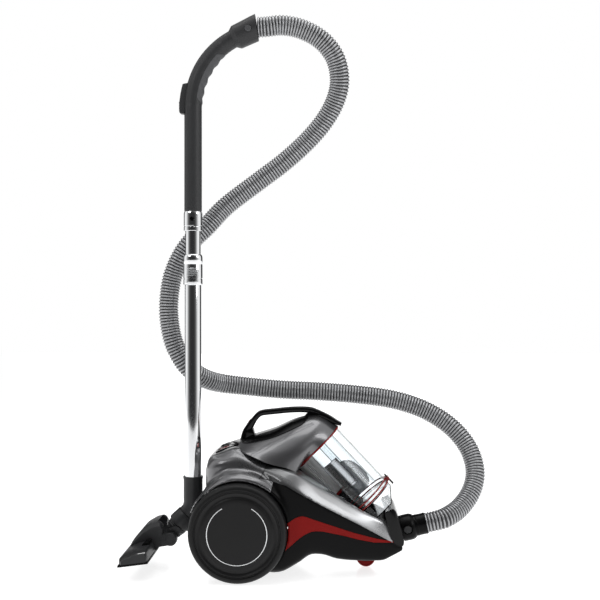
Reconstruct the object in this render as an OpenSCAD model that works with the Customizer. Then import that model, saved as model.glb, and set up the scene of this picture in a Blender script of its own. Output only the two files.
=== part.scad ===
// Bagless canister vacuum cleaner: wheeled body, lift-out dust cup, hose, telescopic wand and floorhead.
// Millimetres. +X is forward (the hose end), +Z is up, and the floor is Z = 0.

/* [Body] */
// Half width of the body between the main wheels
body_half_w = 104; // [98:1:110]
// Wall thickness of the moulded body shells
body_wall = 3; // [2.5:0.1:3.6]
// Gap between neighbouring panels
panel_gap = 0.3; // [0.2:0.05:0.4]

/* [Wheels] */
// Diameter of the main wheels
wheel_d = 190; // [150:1:230]
// Width of a main wheel
wheel_w = 42; // [34:1:52]
// Diameter of the wheel axle pins
axle_d = 12; // [8:0.5:15]
// Diameter of the front castor wheel
castor_d = 38; // [30:1:40]

/* [Dust cup] */
// Outer diameter of the clear bin
bin_d = 127; // [110:1:130]
// Length of the clear bin between its two rings
bin_len = 150; // [120:1:165]
// Wall of the clear bin
bin_wall = 2.5; // [1.8:0.1:3.5]
// Slope of the bin's axis below the horizontal
bin_tilt = 46.8; // [44:0.2:49]

/* [Power unit] */
// Outer diameter of the motor can
motor_d = 104; // [84:1:112]
// Diameter of the motor shaft
shaft_d = 8; // [6:0.5:12]
// Outer diameter of the cord reel flanges
reel_d = 150; // [120:1:166]
// Diameter of the reel's fixed axle
reel_axle_d = 16; // [12:0.5:24]

/* [Hose] */
// Outer diameter of the hose
hose_d = 41; // [36:1:44]
// Wall of the hose
hose_wall = 1.3; // [0.8:0.1:2.5]
// Diameter of the coupling's spigot in the inlet
spigot_d = 40; // [34:0.5:42]

/* [Wand] */
// Outer diameter of the lower wand tube
lower_tube_d = 34; // [30:0.5:36]
// Outer diameter of the upper wand tube
upper_tube_d = 31.5; // [27:0.5:31.5]
// Wall of both wand tubes
tube_wall = 0.9; // [0.6:0.1:1]
// Outer diameter of the handle's pipe
grip_d = 36; // [34:0.5:42]
// Height of the handle pipe's straight part
grip_straight = 217; // [200:1:230]

/* [Floorhead] */
// Width of the floorhead
head_w = 270; // [220:1:330]
// Lip-down slope of the parked floorhead
head_tilt = 7.5; // [4:0.5:10]
// Diameter of the floorhead's pivot pins
pivot_d = 10; // [6:0.5:14]

/* [Fits] */
// Radial clearance of turning and sliding fits
fit = 0.06; // [0.02:0.01:0.1]
// Clearance between pieces that pass each other
pass_gap = 0.4; // [0.3:0.05:0.6]

/* [Hidden] */
$fn = 48;

// Body outline: stations along X of the half width, the top line and the bottom line
rear_x = -142;
front_x = 237;
half_stations = [
  [rear_x, body_half_w - 34], [-136, body_half_w - 16], [-122, body_half_w - 4], [-104, body_half_w],
  [-26, body_half_w], [-10, body_half_w + 20], [20, body_half_w + 29], [60, body_half_w + 25],
  [120, body_half_w + 9], [180, body_half_w - 12], [225, body_half_w - 29], [256, body_half_w - 41]
];
top_stations = [
  [rear_x, 196], [-139, 212], [-130, 226], [-112, 238], [-78, 249.5], [-20, 220.5], [33, 206.6],
  [96, 169], [162, 129.5], [207, 108.5], [211, 101.5], [front_x, 58]
];
bottom_stations = [
  [rear_x, 72], [-128, 32], [-105, 13], [-12, 8], [12, 10], [45, 31], [71, 48], [88, 49],
  [119, 40], [162, 36], [205, 33], [front_x, 50]
];
split_z = 150;
grey_front_x = -26;
seam_rear = [-78, 252.5];
seam_mid = [-20, 222.5];
seam_front = [33, 208];

// Main wheels
wheel_r = wheel_d / 2;
wheel_x = -72;
wheel_z = wheel_r;
wheel_y = body_half_w + 4;
arch_r = wheel_r + 4.5;
cheek_r = arch_r + 4.5;
axle_r = axle_d / 2;
hub_len = 24;
retainer_t = 2;

// Castor
castor_r = castor_d / 2;
castor_x = 185;
castor_trail = 8;
castor_w = 18;
stem_r = 5;
pocket_r = castor_trail + castor_r + 3;
pocket_top = castor_d + 5.5;
stem_top = pocket_top + 15;

// Dust cup axis, from the centre of its top ring
cup_x = 72;
cup_z = 239;
bin_r = bin_d / 2;
ring_r = bin_r + 2.5;
ring_t = 12;
bay_r = ring_r + 1.3;
cradle_wall = 2.2;
cup_travel = 200;

// Hose inlet
port_x = 246;
port_z = 76;
port_tilt = 13;
spigot_r = spigot_d / 2;
duct_r = spigot_r + fit + 2.4;
seal_s = 30;
coupling_len = 54.6;
coupling_s = 3.7;

// Power unit, both on axes along Y
unit_z = 106;
motor_x = -64;
motor_y0 = -94;
motor_y1 = -14;
motor_r = motor_d / 2;
shaft_r = shaft_d / 2;
reel_x = -62;
foot_z = 16.4;
reel_y0 = 6;
reel_y1 = 72;

// Wand
wand_x = -176;
socket_top = 181;
lower_top = 606;
collar_z = 572;
collar_h = 62;
upper_bottom = 190;
sleeve_z = 682;
sleeve_top = 720;
upper_top = 712;
button_z = sleeve_z + 24;
button_r = 4.5;
release_s = 27;
release_r = 7;
upper_r = upper_tube_d / 2;
lower_r = lower_tube_d / 2;
grip_r = grip_d / 2;
bend_r = 156;
bend_angle = 65;
bend_z = sleeve_top + grip_straight;
horn_len = 56;
horn_start = -4;
horn_face = [-45, 1097];
horn_face_tilt = 8;
horn_r = hose_d / 2 + 2.2;

// Neck and floorhead
elbow_z = 117;
neck_slope = 50;
pivot_x = -216;
pivot_z = 60;
pivot_r = pivot_d / 2;
sole_z = -21;
lip_x = -90.5;
heel_x = -32;

// Pose helpers
module along_y(y0, y1) { translate([0, y1, 0]) rotate([90, 0, 0]) linear_extrude(y1 - y0) children(); }
module rod_y(r, y0, y1, x, z) { translate([x, y0, z]) rotate([-90, 0, 0]) cylinder(r = r, h = y1 - y0); }
module both_sides() {
  children();
  mirror([0, 1, 0]) children();
}
module on_cup() { translate([cup_x, 0, cup_z]) rotate([0, 90 + bin_tilt, 0]) children(); }
module on_port(s) {
  translate([port_x, 0, port_z]) rotate([0, 90 - port_tilt, 0]) translate([0, 0, s]) children();
}
module on_neck(s) {
  translate([wand_x, 0, elbow_z]) rotate([0, -90 - neck_slope, 0]) translate([0, 0, s]) children();
}
module on_head() { translate([pivot_x, 0, pivot_z]) rotate([0, -head_tilt, 0]) children(); }
module tube(r_out, r_in, h) {
  difference() {
    cylinder(r = r_out, h = h);
    translate([0, 0, -1]) cylinder(r = r_in, h = h + 2);
  }
}

// Outlines
function reversed(list) = [for (i = [len(list) - 1 : -1 : 0]) list[i]];
function line_through(stations, x0, x1, lift) = concat(
  [[x0, lookup(x0, stations) + lift]],
  [for (s = stations) if (s[0] > x0 + 0.5 && s[0] < x1 - 0.5) [s[0], s[1] + lift]],
  [[x1, lookup(x1, stations) + lift]]
);
function side_outline(inset) = concat(
  line_through(top_stations, rear_x + inset, front_x - 2 * inset, -inset),
  reversed(line_through(bottom_stations, rear_x + inset, front_x - 2 * inset, inset))
);
function half_line(inset, x1) = line_through(half_stations, rear_x + inset, x1 - inset, -inset);
function plan_outline(inset, x1) = concat(
  half_line(inset, x1),
  [for (p = reversed(half_line(inset, x1))) [p[0], -p[1]]]
);
module plan_prism(inset, x1) { linear_extrude(400) polygon(plan_outline(inset, x1)); }

// The whole fixed body as one hollow form, which the shells and panels are cut from
module body_form(inset) {
  intersection() {
    along_y(-160, 160) polygon(side_outline(inset));
    plan_prism(inset, front_x);
  }
  both_sides() intersection() {
    rod_y(cheek_r - inset, body_half_w - 20 + inset, body_half_w + 3 - 2 * inset, wheel_x, wheel_z);
    translate([-200, 0, 12 + inset]) cube([200 + grey_front_x - inset, 140, 260]);
  }
}
module wheel_arches() {
  both_sides() rod_y(arch_r, body_half_w, 200, wheel_x, wheel_z);
}
module bay_form(r, half, out) {
  intersection() {
    union() {
      on_cup() translate([0, 0, -60]) cylinder(r = r, h = 300);
      on_cup() translate([-300, -half, -60]) cube([300, 2 * half, 300]);
    }
    along_y(-100, 100) polygon([
      [-2 - out, 330], [229 + out, 330], [229 + out, 135], [151 + out, 65 - out], [-2 - out, 65 - out]
    ]);
  }
}
module body_shell() {
  difference() {
    body_form(0);
    body_form(body_wall);
    wheel_arches();
    bay_form(bay_r + cradle_wall + panel_gap, bay_r + cradle_wall + panel_gap, cradle_wall + panel_gap);
  }
}
module grey_region(grow) {
  along_y(-170, 170) polygon([
    [-200, split_z - grow], [grey_front_x + grow, split_z - grow], [grey_front_x + grow, 196 - grow],
    [33 + grow, 205.5 - grow], [33 + grow, 270], [-200, 270]
  ]);
}
module panel_region(grow) {
  along_y(-170, 170) polygon([
    [-25 - grow, 201 + grow], [33, 212 + grow], [96, 174 + grow], [162, 134 + grow], [208, 113 + grow],
    [front_x + 1, 62], [236, 60 - grow], [162, 104 - grow], [91, 144 - grow], [20, 184 - grow],
    [-25 - grow, 196 - grow]
  ]);
}
module accent_region(grow) {
  along_y(-170, 170) polygon([
    [18 - grow, 110 + grow], [37, 123 + grow], [51, 127 + grow], [91, 113 + grow], [148, 90 + grow],
    [190, 76 + grow], [222 + grow, 67.5 + grow], [222 + grow, 66 - grow], [190, 68 - grow],
    [133, 84 - grow], [91, 95 - grow], [71, 96 - grow], [46, 86 - grow], [18 - grow, 60 - grow]
  ]);
}
grille_y = 34;
grille_z = 112;
deck_x0 = -124;
deck_x1 = -79.5;
deck_half = 46;
intake_x = -42;
intake_r = 19;
outlet_y = 44;
outlet_z = 112;
screw_spots = [[-95, 60], [-20, 70], [100, 62], [222, 40]];
screw_r = 1.9;
screw_head_r = 3.6;
module screw_holes() {
  for (p = screw_spots) both_sides() translate([p[0], p[1], 0]) {
    cylinder(r = screw_r + 0.1, h = 70);
    cylinder(r = screw_head_r + 0.3, h = lookup(p[0], bottom_stations) + 1.4);
  }
}

module base_shell() color("#1d1d1f") difference() {
  union() {
    difference() {
      body_shell();
      grey_region(panel_gap / 2);
      panel_region(panel_gap / 2);
      accent_region(panel_gap / 2);
      rear_openings();
      cylinder_pocket(pocket_r);
    }
    // Castor pocket and its stem boss
    difference() {
      translate([castor_x, 0, 34]) cylinder(r = pocket_r + 2.5, h = pocket_top + 3 - 34);
      cylinder_pocket(pocket_r);
    }
    translate([castor_x, 0, pocket_top]) cylinder(r = stem_r + 3.5, h = stem_top - pocket_top);
    // Bearing blocks for the wheel axles and posts for the power unit
    both_sides() rod_y(axle_r + 6, body_half_w - 12, body_half_w - 0.5, wheel_x, wheel_z);
    translate([reel_x - 12, reel_y1 + 1, 9]) cube([24, 5, unit_z - 9]);
    rod_y(reel_axle_d / 2 + 6, reel_y1 + 1, reel_y1 + 6, reel_x, unit_z);
    // Bracket that takes the park hook
    translate([rear_x - 13, -19, 96]) cube([14, 38, 40]);
  }
  both_sides() rod_y(axle_r, body_half_w - 18, body_half_w + 6, wheel_x, wheel_z);
  translate([castor_x, 0, 10]) cylinder(r = stem_r + fit, h = stem_top);
  rod_y(reel_axle_d / 2, reel_y1 - 2, reel_y1 + 7, reel_x, unit_z);
  screw_holes();
  on_port(-seal_s) cylinder(r = duct_r + panel_gap, h = seal_s + 40);
  on_port(-seal_s) sphere(r = duct_r + panel_gap);
  translate([rear_x - 10 - pass_gap, -12 - pass_gap, 100]) cube([6 + 2 * pass_gap, 24 + 2 * pass_gap, 50]);
}
module cylinder_pocket(r) {
  translate([castor_x, 0, 20]) cylinder(r = r, h = pocket_top - 20);
}
module rear_openings() {
  translate([rear_x - 5, -grille_y - 35, grille_z - 22]) cube([30, 50, 44]);
  translate([rear_x - 5, outlet_y, outlet_z]) rotate([0, 90, 0]) cylinder(r = 11, h = 30);
}
module upper_shell() color("#77787a") difference() {
  intersection() {
    body_shell();
    grey_region(-panel_gap / 2);
  }
  panel_region(panel_gap / 2);
  deck_form(panel_gap);
  translate([intake_x, 0, 180]) cylinder(r = intake_r, h = 60);
}
module side_panels() color("#c4c6c8") difference() {
  intersection() {
    body_shell();
    panel_region(-panel_gap / 2);
  }
  grey_region(panel_gap / 2);
  translate([-60, -60, 0]) cube([400, 120, 300]);
}
module accent_strips() color("#c3201f") intersection() {
  body_shell();
  accent_region(-panel_gap / 2);
}
module inlet_bezel() color("#141415") difference() {
  intersection() {
    along_y(-100, 100) polygon([
      [211.9, 102.5], [214, 124], [231, 130], [238.6, 122], [251.9, 64.5], [250.5, 56], [237.8, 58.8]
    ]);
    plan_prism(0, 256);
  }
  difference() {
    intersection() {
      along_y(-100, 100) polygon([
        [200, 118], [217, 121], [229.5, 126], [235.4, 120.5], [248.6, 65], [247.6, 60], [200, 62]
      ]);
      plan_prism(3, 254);
    }
    on_port(-8) cylinder(r = duct_r + 4, h = 18);
  }
  on_port(-60) cylinder(r = duct_r + panel_gap, h = 80);
  bay_form(bay_r + cradle_wall + panel_gap, bay_r + cradle_wall + panel_gap, cradle_wall + panel_gap);
}
module inlet_duct() color("#262628") difference() {
  union() {
    on_port(-seal_s) cylinder(r = duct_r, h = seal_s + 3);
    on_port(-seal_s) sphere(r = duct_r);
    duct_riser(duct_r - 5, 0);
  }
  on_port(-seal_s) cylinder(r = spigot_r + fit, h = seal_s + 10);
  on_port(-seal_s) sphere(r = spigot_r);
  duct_riser(duct_r - 7.5, 5);
}
lid_slope = 41.8;
riser_len = 43.6;
module at_riser() {
  on_port(-seal_s) rotate([0, port_tilt - 90 - lid_slope, 0]) children();
}
module duct_riser(r, extra) {
  at_riser() cylinder(r = r, h = riser_len + extra);
}
module cup_cradle() color("#1a1a1c") difference() {
  intersection() {
    bay_form(bay_r + cradle_wall, bay_r + cradle_wall, cradle_wall);
    along_y(-100, 100) polygon(side_outline(body_wall + panel_gap));
  }
  bay_form(bay_r, bay_r, 0);
  at_riser() cylinder(r = duct_r - 5 + panel_gap, h = 60);
}
module deck_form(grow) {
  along_y(-deck_half - grow, deck_half + grow) polygon([
    [deck_x0 - grow, 220], [deck_x0 - grow, 237], [-112, 242.5], [deck_x1 + grow, 253], [deck_x1 + grow, 220]
  ]);
}
pedal_x0 = -121;
pedal_x1 = -100;
pedal_half = 16;
pedal_mid = 22;
pedal_travel = 5;
module pedal_well(side) {
  translate([pedal_x0 - pass_gap, side * pedal_mid - pedal_half - pass_gap, 216])
    cube([pedal_x1 - pedal_x0 + 2 * pass_gap, 2 * pedal_half + 2 * pass_gap, 60]);
}
module rear_deck() color("#131314") difference() {
  deck_form(0);
  translate([deck_x0 + 2.5, -deck_half + 2.5, 210]) cube([deck_x1 - deck_x0 - 5, 2 * deck_half - 5, 21]);
  pedal_well(1);
  pedal_well(-1);
}
module pedal(side) {
  translate([pedal_x0, side * pedal_mid - pedal_half, 0]) difference() {
    translate([0, 0, 226]) cube([pedal_x1 - pedal_x0, 2 * pedal_half, 18]);
    translate([2, 2, 225]) cube([pedal_x1 - pedal_x0 - 4, 2 * pedal_half - 4, 16]);
  }
}
module power_pedal() color("#151516") union() {
  pedal(1);
  translate([-112, pedal_mid - 3, 221]) cube([6, 6, 21]);
}
module rewind_pedal() color("#c3201f") pedal(-1);
module power_switch() color("#2a2a2c") union() {
  translate([-120, pedal_mid - 10, 190]) cube([22, 20, 24]);
  translate([-112, pedal_mid - 3, 213]) cube([6, 6, 2]);
  translate([-124, pedal_mid - 16, 187]) cube([60, 32, 3]);
}

// Motor, fan and reel
module motor_housing() color("#2b2c2e") difference() {
  union() {
    rod_y(motor_r + 4, motor_y0 + 20, motor_y1 + 4, motor_x, unit_z);
    translate([motor_x - 34, motor_y0 + 20, foot_z]) cube([68, motor_y1 - motor_y0 - 16, 60]);
  }
  rod_y(motor_r + 0.5, motor_y0 + 16, motor_y1 + 0.4, motor_x, unit_z);
  rod_y(shaft_r + 10, motor_y0, motor_y1 + 10, motor_x, unit_z);
  translate([motor_x - 28, motor_y0 + 24, 5]) cube([56, motor_y1 - motor_y0 - 24, 42]);
  screw_holes();
}
module motor_can() color("#a9abad") difference() {
  rod_y(motor_r, motor_y0 + 6, motor_y1, motor_x, unit_z);
  rod_y(motor_r - 1.5, motor_y0 + 9, motor_y1 - 3, motor_x, unit_z);
  rod_y(shaft_r + fit, motor_y0, motor_y1 + 5, motor_x, unit_z);
  for (a = [0 : 45 : 315]) translate([motor_x, 0, unit_z]) rotate([0, a, 0])
    rod_y(6, motor_y0, motor_y0 + 12, 0, 28);
}
module motor_rotor() color("#8c6a45") union() {
  rod_y(shaft_r, motor_y0 + 5, motor_y1 + 1, motor_x, unit_z);
  rod_y(27, motor_y0 + 34, motor_y1 - 12, motor_x, unit_z);
  rod_y(12, motor_y0 + 28, motor_y0 + 34, motor_x, unit_z);
}
module motor_fan() color("#c9cbcd") difference() {
  union() {
    rod_y(motor_r - 5, motor_y0 + 22, motor_y0 + 23.5, motor_x, unit_z);
    rod_y(shaft_r + 4, motor_y0 + 13, motor_y0 + 23.5, motor_x, unit_z);
    for (a = [0 : 40 : 320]) translate([motor_x, 0, unit_z]) rotate([0, a, 0])
      translate([shaft_r + 3, motor_y0 + 13, 0]) rotate([0, 20, 0]) cube([motor_r - 22, 10, 1.2]);
  }
  rod_y(shaft_r, motor_y0, motor_y0 + 30, motor_x, unit_z);
}
module premotor_filter() color("#3d5a7a") translate([intake_x, 0, 196]) cylinder(r = intake_r - 1, h = 12);
module reel_axle() color("#9a9c9e") union() {
  rod_y(reel_axle_d / 2, reel_y0 - 8, reel_y1 + 6, reel_x, unit_z);
  rod_y(reel_axle_d / 2 + 4, reel_y0 - 8, reel_y0 - 5, reel_x, unit_z);
}
module cord_reel() color("#2f3032") difference() {
  union() {
    rod_y(reel_d / 2, reel_y0, reel_y0 + 2.5, reel_x, unit_z);
    rod_y(reel_d / 2, reel_y1 - 3, reel_y1 - 0.5, reel_x, unit_z);
    rod_y(30, reel_y0, reel_y1 - 0.5, reel_x, unit_z);
  }
  rod_y(reel_axle_d / 2 + fit, reel_y0 - 2, reel_y1 + 2, reel_x, unit_z);
  difference() {
    rod_y(26, reel_y0 + 3, reel_y1 - 4, reel_x, unit_z);
    rod_y(reel_axle_d / 2 + 4, reel_y0, reel_y1, reel_x, unit_z);
  }
}
module cord_outlet() color("#0f0f10") translate([rear_x - 2.5, outlet_y, outlet_z]) rotate([0, 90, 0])
difference() {
  union() {
    cylinder(r = 14, h = 2.2);
    cylinder(r = 10.8, h = 9);
  }
  translate([0, 0, -1]) cylinder(r = 5, h = 12);
}
module exhaust_grille() color("#101011") difference() {
  translate([rear_x + 0.2, -grille_y - 34.7, grille_z - 21.7]) cube([3, 49.4, 43.4]);
  for (i = [0 : 6]) translate([rear_x - 2, -grille_y - 31, grille_z - 18.5 + 5.5 * i]) cube([8, 42, 3]);
}
module wheel_axles() color("#b4b6b8") both_sides() union() {
  rod_y(axle_r, body_half_w - 13.5, wheel_y + 2 + hub_len + 4, wheel_x, wheel_z);
  rod_y(axle_r + 3, body_half_w + 0.6, wheel_y + 0.7, wheel_x, wheel_z);
  translate([0, wheel_y + 1 + hub_len + pass_gap, 0]) rod_y(axle_r + 4, 0, retainer_t, wheel_x, wheel_z);
}
module base_screws() color("#8e9092") for (p = screw_spots) both_sides()
  translate([p[0], p[1], lookup(p[0], bottom_stations) - 0.5]) {
    cylinder(r = screw_r, h = 14);
    cylinder(r = screw_head_r, h = 1.6);
  }

// Main wheels, drawn with the axle along +Z from the inner face
module to_wheel(side) {
  translate([wheel_x, side * wheel_y, wheel_z]) rotate([-90 * side, 0, 0]) children();
}
tyre_depth = 11;
module tyre_form() rotate_extrude($fn = 96) polygon([
  [wheel_r - tyre_depth, 2], [wheel_r - 4, 0], [wheel_r, 5], [wheel_r, wheel_w - 9],
  [wheel_r - 3, wheel_w - 3], [wheel_r - 8, wheel_w - 0.5], [wheel_r - tyre_depth, wheel_w - 0.5]
]);
module hub_form() difference() {
  union() {
    tube(wheel_r - tyre_depth, wheel_r - tyre_depth - 4, wheel_w - 6);
    translate([0, 0, 14]) cylinder(r = wheel_r - tyre_depth - 2, h = 3);
    translate([0, 0, 1]) cylinder(r = axle_r + 7, h = hub_len);
  }
  translate([0, 0, -1]) cylinder(r = axle_r + fit, h = wheel_w + 2);
}
module hubcap_form() difference() {
  rotate_extrude($fn = 96) polygon([
    [0, wheel_w - 5.5], [wheel_r - tyre_depth - 0.3, wheel_w - 5.5], [wheel_r - tyre_depth - 0.3, wheel_w - 1],
    [wheel_r - 16, wheel_w - 1.5], [wheel_r - 21, wheel_w - 3], [wheel_r - 25, wheel_w - 1.6], [0, wheel_w - 1.6]
  ]);
  translate([0, 0, wheel_w - 6]) cylinder(r = axle_r + 8, h = 2.5);
}
module wheel_hub_left() color("#29292b") to_wheel(1) hub_form();
module wheel_hub_right() color("#29292b") to_wheel(-1) hub_form();
module wheel_tyre_left() color("#1b1b1c") to_wheel(1) tyre_form();
module wheel_tyre_right() color("#1b1b1c") to_wheel(-1) tyre_form();
module hubcap_left() color("#2d2d30") to_wheel(1) hubcap_form();
module hubcap_right() color("#2d2d30") to_wheel(-1) hubcap_form();

module castor_fork() color("#222224") union() {
  translate([castor_x, 0, pocket_top - 4]) cylinder(r = stem_r + 6, h = 3.5);
  translate([castor_x, 0, pocket_top - 3]) cylinder(r = stem_r, h = stem_top - pocket_top + 3);
  translate([castor_x - castor_trail - 7, -castor_w / 2 - 4, pocket_top - 4]) cube([20, castor_w + 8, 3.5]);
  both_sides() translate([castor_x - castor_trail - 7, castor_w / 2 + 0.5, castor_r - 6])
    cube([14, 3.5, pocket_top - 4 - castor_r + 6.5]);
  rod_y(3, -castor_w / 2 - 2, castor_w / 2 + 2, castor_x - castor_trail, castor_r);
}
module castor_wheel() color("#b81d1c") difference() {
  rod_y(castor_r, -castor_w / 2, castor_w / 2, castor_x - castor_trail, castor_r);
  rod_y(3 + fit, -20, 20, castor_x - castor_trail, castor_r);
}

// Dust cup: everything that lifts off with the handle
module cowl_hull(grow) hull() {
  on_cup() translate([0, 0, -26 - grow]) cylinder(r = ring_r + grow, h = 22 + grow, $fn = 32);
  for (y = [-66, 66]) translate([-60, y, 214]) cylinder(r = 20 + grow, h = 36 + grow, $fn = 32);
}
module above_seam(lift) {
  along_y(-140, 140) polygon([
    [-90, 330], [seam_rear[0] - 1, 330], [seam_rear[0] - 1, seam_rear[1] + lift],
    [seam_mid[0], seam_mid[1] + lift], [seam_front[0], seam_front[1] + lift], [96, 171 + lift], [140, 150], [200, 330]
  ]);
}
module cup_cowl() color("#8b8d90") difference() {
  intersection() {
    cowl_hull(0);
    union() {
      above_seam(0.5);
      on_cup() translate([0, 0, -30]) cylinder(r = ring_r - 0.1, h = 30);
    }
  }
  intersection() {
    cowl_hull(-2.6);
    union() {
      above_seam(3.2);
      on_cup() translate([0, 0, -30]) cylinder(r = ring_r - 2.7, h = 30);
    }
  }
  on_cup() translate([0, 0, -7]) cylinder(r = bin_r - 8, h = 40);
  translate([intake_x, 0, 195]) cylinder(r = intake_r - 2, h = 50);
}
cover_x = 58;
module top_cover() color("#101011") intersection() {
  difference() {
    cowl_hull(4);
    cowl_hull(0.3);
  }
  along_y(-46, 46) polygon([[-74, 240], [-74, 330], [cover_x, 330], [cover_x, 240]]);
}
handle_half = 13;
module carry_handle() color("#111112") difference() {
  along_y(-handle_half, handle_half) polygon([
    [-75, 258], [-60, 287], [-42, 311], [-27, 318], [27, 323], [69, 323], [100, 310], [118, 297], [128, 291],
    [126, 286], [118, 288], [104, 307], [60, 300], [0, 282], [-50, 266.5]
  ]);
  along_y(-20, 20) polygon([[-48, 271], [-31, 302], [-22, 306], [54, 311], [37, 300], [-6, 284]]);
  cowl_hull(0.4);
  intersection() {
    cowl_hull(4.4);
    translate([-200, -50, 200]) cube([200 + cover_x + 0.4, 100, 200]);
  }
  button_seat(pass_gap);
}
module button_seat(grow) {
  translate([-72, -6 - grow, 281 - grow]) cube([16 + grow, 12 + 2 * grow, 10 + 2 * grow]);
}
module cup_button() color("#c3201f") intersection() {
  button_seat(0);
  translate([-66.5, -10, 270]) cube([6.5, 20, 30]);
}
module dust_bin() color([0.85, 0.88, 0.9, 0.4]) on_cup() tube(bin_r, bin_r - bin_wall, bin_len);
module top_ring() color("#c3201f") on_cup() difference() {
  translate([0, 0, -4]) cylinder(r = ring_r, h = ring_t);
  translate([0, 0, -5]) cylinder(r = bin_r - 8, h = ring_t + 3);
  translate([0, 0, -0.1]) cylinder(r = bin_r + 0.05, h = ring_t + 5);
}
module bottom_ring() color("#c3201f") difference() {
  union() {
    on_cup() translate([0, 0, bin_len - ring_t + 2]) tube(ring_r, bin_r + 0.05, ring_t - 2);
    on_cup() translate([-ring_r - 5, -9, bin_len - 9]) cube([7.2, 18, 9]);
  }
  on_cup() translate([-ring_r - 6, -4 - pass_gap, bin_len - 12]) cube([7, 8 + 2 * pass_gap, 14]);
}
module latch_pin_place() { on_cup() translate([-ring_r - 2.4, 0, bin_len - 4.5]) children(); }
module lid_latch() color("#3a3b3d") union() {
  on_cup() translate([-ring_r - 4.6, -4, bin_len - 14]) cube([3.8, 8, 26]);
  on_cup() translate([-ring_r - 4.6, -4, bin_len + 9]) cube([3.8, 8, 3]);
}
module bottom_lid() color([0.85, 0.88, 0.9, 0.4]) difference() {
  lid_form(bin_r, 0);
  lid_form(bin_r - bin_wall, bin_wall);
  on_cup() translate([0, 0, bin_len - 5]) cylinder(r = bin_r - bin_wall, h = 5.9);
  at_riser() cylinder(r = duct_r - 7.5, h = 60);
}
module lid_form(r, inset) {
  intersection() {
    on_cup() translate([0, 0, bin_len + 0.4]) cylinder(r = r, h = 80);
    along_y(-100, 100) polygon([
      [60, 300], [227 - inset, 300], [227 - inset, 137], [150 - inset, 68 + inset], [60, 68 + inset]
    ]);
  }
}
module cyclone_body() color("#9fa1a4") on_cup() translate([-15, 0, 0]) difference() {
  union() {
    translate([0, 0, 3]) cylinder(r = 20, h = 90);
    translate([0, 0, 40]) cylinder(r = 26, h = 72);
    translate([0, 0, 112]) cylinder(r1 = 26, r2 = 16, h = 16);
    translate([15, 0, -3.9]) cylinder(r = bin_r - 8.2, h = 7.9);
  }
  translate([0, 0, -10]) cylinder(r = 15, h = 145);
}
module pleated_filter() color("#6d6f72") on_cup() translate([33, 0, 0]) union() {
  translate([0, 0, 4.2]) cylinder(r = 17, h = 96);
  translate([0, 0, 4.2]) cylinder(r = 20, h = 4);
  translate([0, 0, 96]) cylinder(r = 20, h = 5);
}

// Hose coupling
module hose_coupling() color("#1a1a1b") on_port(0) difference() {
  union() {
    translate([0, 0, -14]) cylinder(r = spigot_r, h = 20);
    translate([0, 0, coupling_s]) cylinder(r = spigot_r + 6, h = 29 - coupling_s);
    translate([0, 0, 29]) cylinder(r = hose_d / 2 + 0.6, h = coupling_len - 29);
  }
  translate([0, 0, -20]) cylinder(r = spigot_r - 3, h = coupling_len + 40);
  translate([0, 0, 17]) rotate([90, 0, 0]) cylinder(r = 6 + fit, h = 60);
}
module coupling_button() color("#232325") on_port(17) rotate([90, 0, 0])
  translate([0, 0, spigot_r - 1.5]) cylinder(r = 6, h = 9);

// Wand
module lower_tube() color("#c8cacc") translate([wand_x, 0, 136]) tube(lower_r, lower_r - tube_wall, lower_top - 136);
module lock_collar() color("#b3b5b8") translate([wand_x, 0, collar_z]) difference() {
  cylinder(r = lower_r + 2.6, h = collar_h);
  translate([0, 0, -1]) cylinder(r = lower_r + fit, h = lower_top - collar_z + 8);
  translate([0, 0, -1]) cylinder(r = upper_r + pass_gap, h = collar_h + 2);
}
module upper_tube() color("#d0d2d4") translate([wand_x, 0, 0]) difference() {
  translate([0, 0, upper_bottom]) tube(upper_r, upper_r - tube_wall, upper_top - upper_bottom);
  translate([0, 0, button_z]) rotate([90, 0, 0]) cylinder(r = button_r + pass_gap, h = 40);
}
module wand_sleeve() translate([wand_x, 0, sleeve_z]) difference() {
  cylinder(r = upper_r + 3.2, h = sleeve_top - sleeve_z);
  translate([0, 0, -1]) cylinder(r = upper_r + 0.02, h = sleeve_top - sleeve_z + 2);
}
module bend(r) {
  translate([wand_x + bend_r, 0, bend_z]) rotate([90, 0, 0]) rotate([0, 0, 180 - bend_angle])
    rotate_extrude(angle = bend_angle) translate([bend_r, 0]) circle(r = r);
}
module at_bend_end_back() {
  rotate([0, -bend_angle, 0])
    translate([-wand_x - bend_r * (1 - cos(bend_angle)), 0, -bend_z - bend_r * sin(bend_angle)]) children();
}
module at_bend_end() {
  translate([wand_x + bend_r * (1 - cos(bend_angle)), 0, bend_z + bend_r * sin(bend_angle)])
    rotate([0, bend_angle, 0]) children();
}
module grip_handle() color("#3a3b3e") difference() {
  union() {
    wand_sleeve();
    translate([wand_x, 0, sleeve_top]) cylinder(r = grip_r, h = grip_straight + 0.6);
    bend(grip_r - 1.5);
    at_bend_end() translate([0, 0, horn_start - 12]) cylinder(r1 = grip_r - 1.2, r2 = horn_r, h = 12.1);
    at_bend_end() translate([0, 0, horn_start]) cylinder(r = horn_r, h = horn_len);
  }
  translate([wand_x, 0, sleeve_z - 1]) cylinder(r = upper_r + 0.02, h = upper_top + 0.2 - sleeve_z + 1);
  translate([wand_x, 0, upper_top]) cylinder(r = grip_r - 4.2, h = bend_z - upper_top + 0.5);
  bend(grip_r - 4);
  at_bend_end() translate([0, 0, -0.5]) cylinder(r = grip_r - 4.2, h = horn_len);
  at_bend_end() translate([0, 0, 6]) cylinder(r = hose_d / 2 + 0.02, h = horn_len);
  translate([wand_x, 0, button_z]) rotate([90, 0, 0]) cylinder(r = button_r + fit, h = 40);
  at_bend_end() translate([0, 0, release_s]) rotate([90, 0, 0]) cylinder(r = release_r + fit, h = 60);
  past_horn_face();
}
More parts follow.
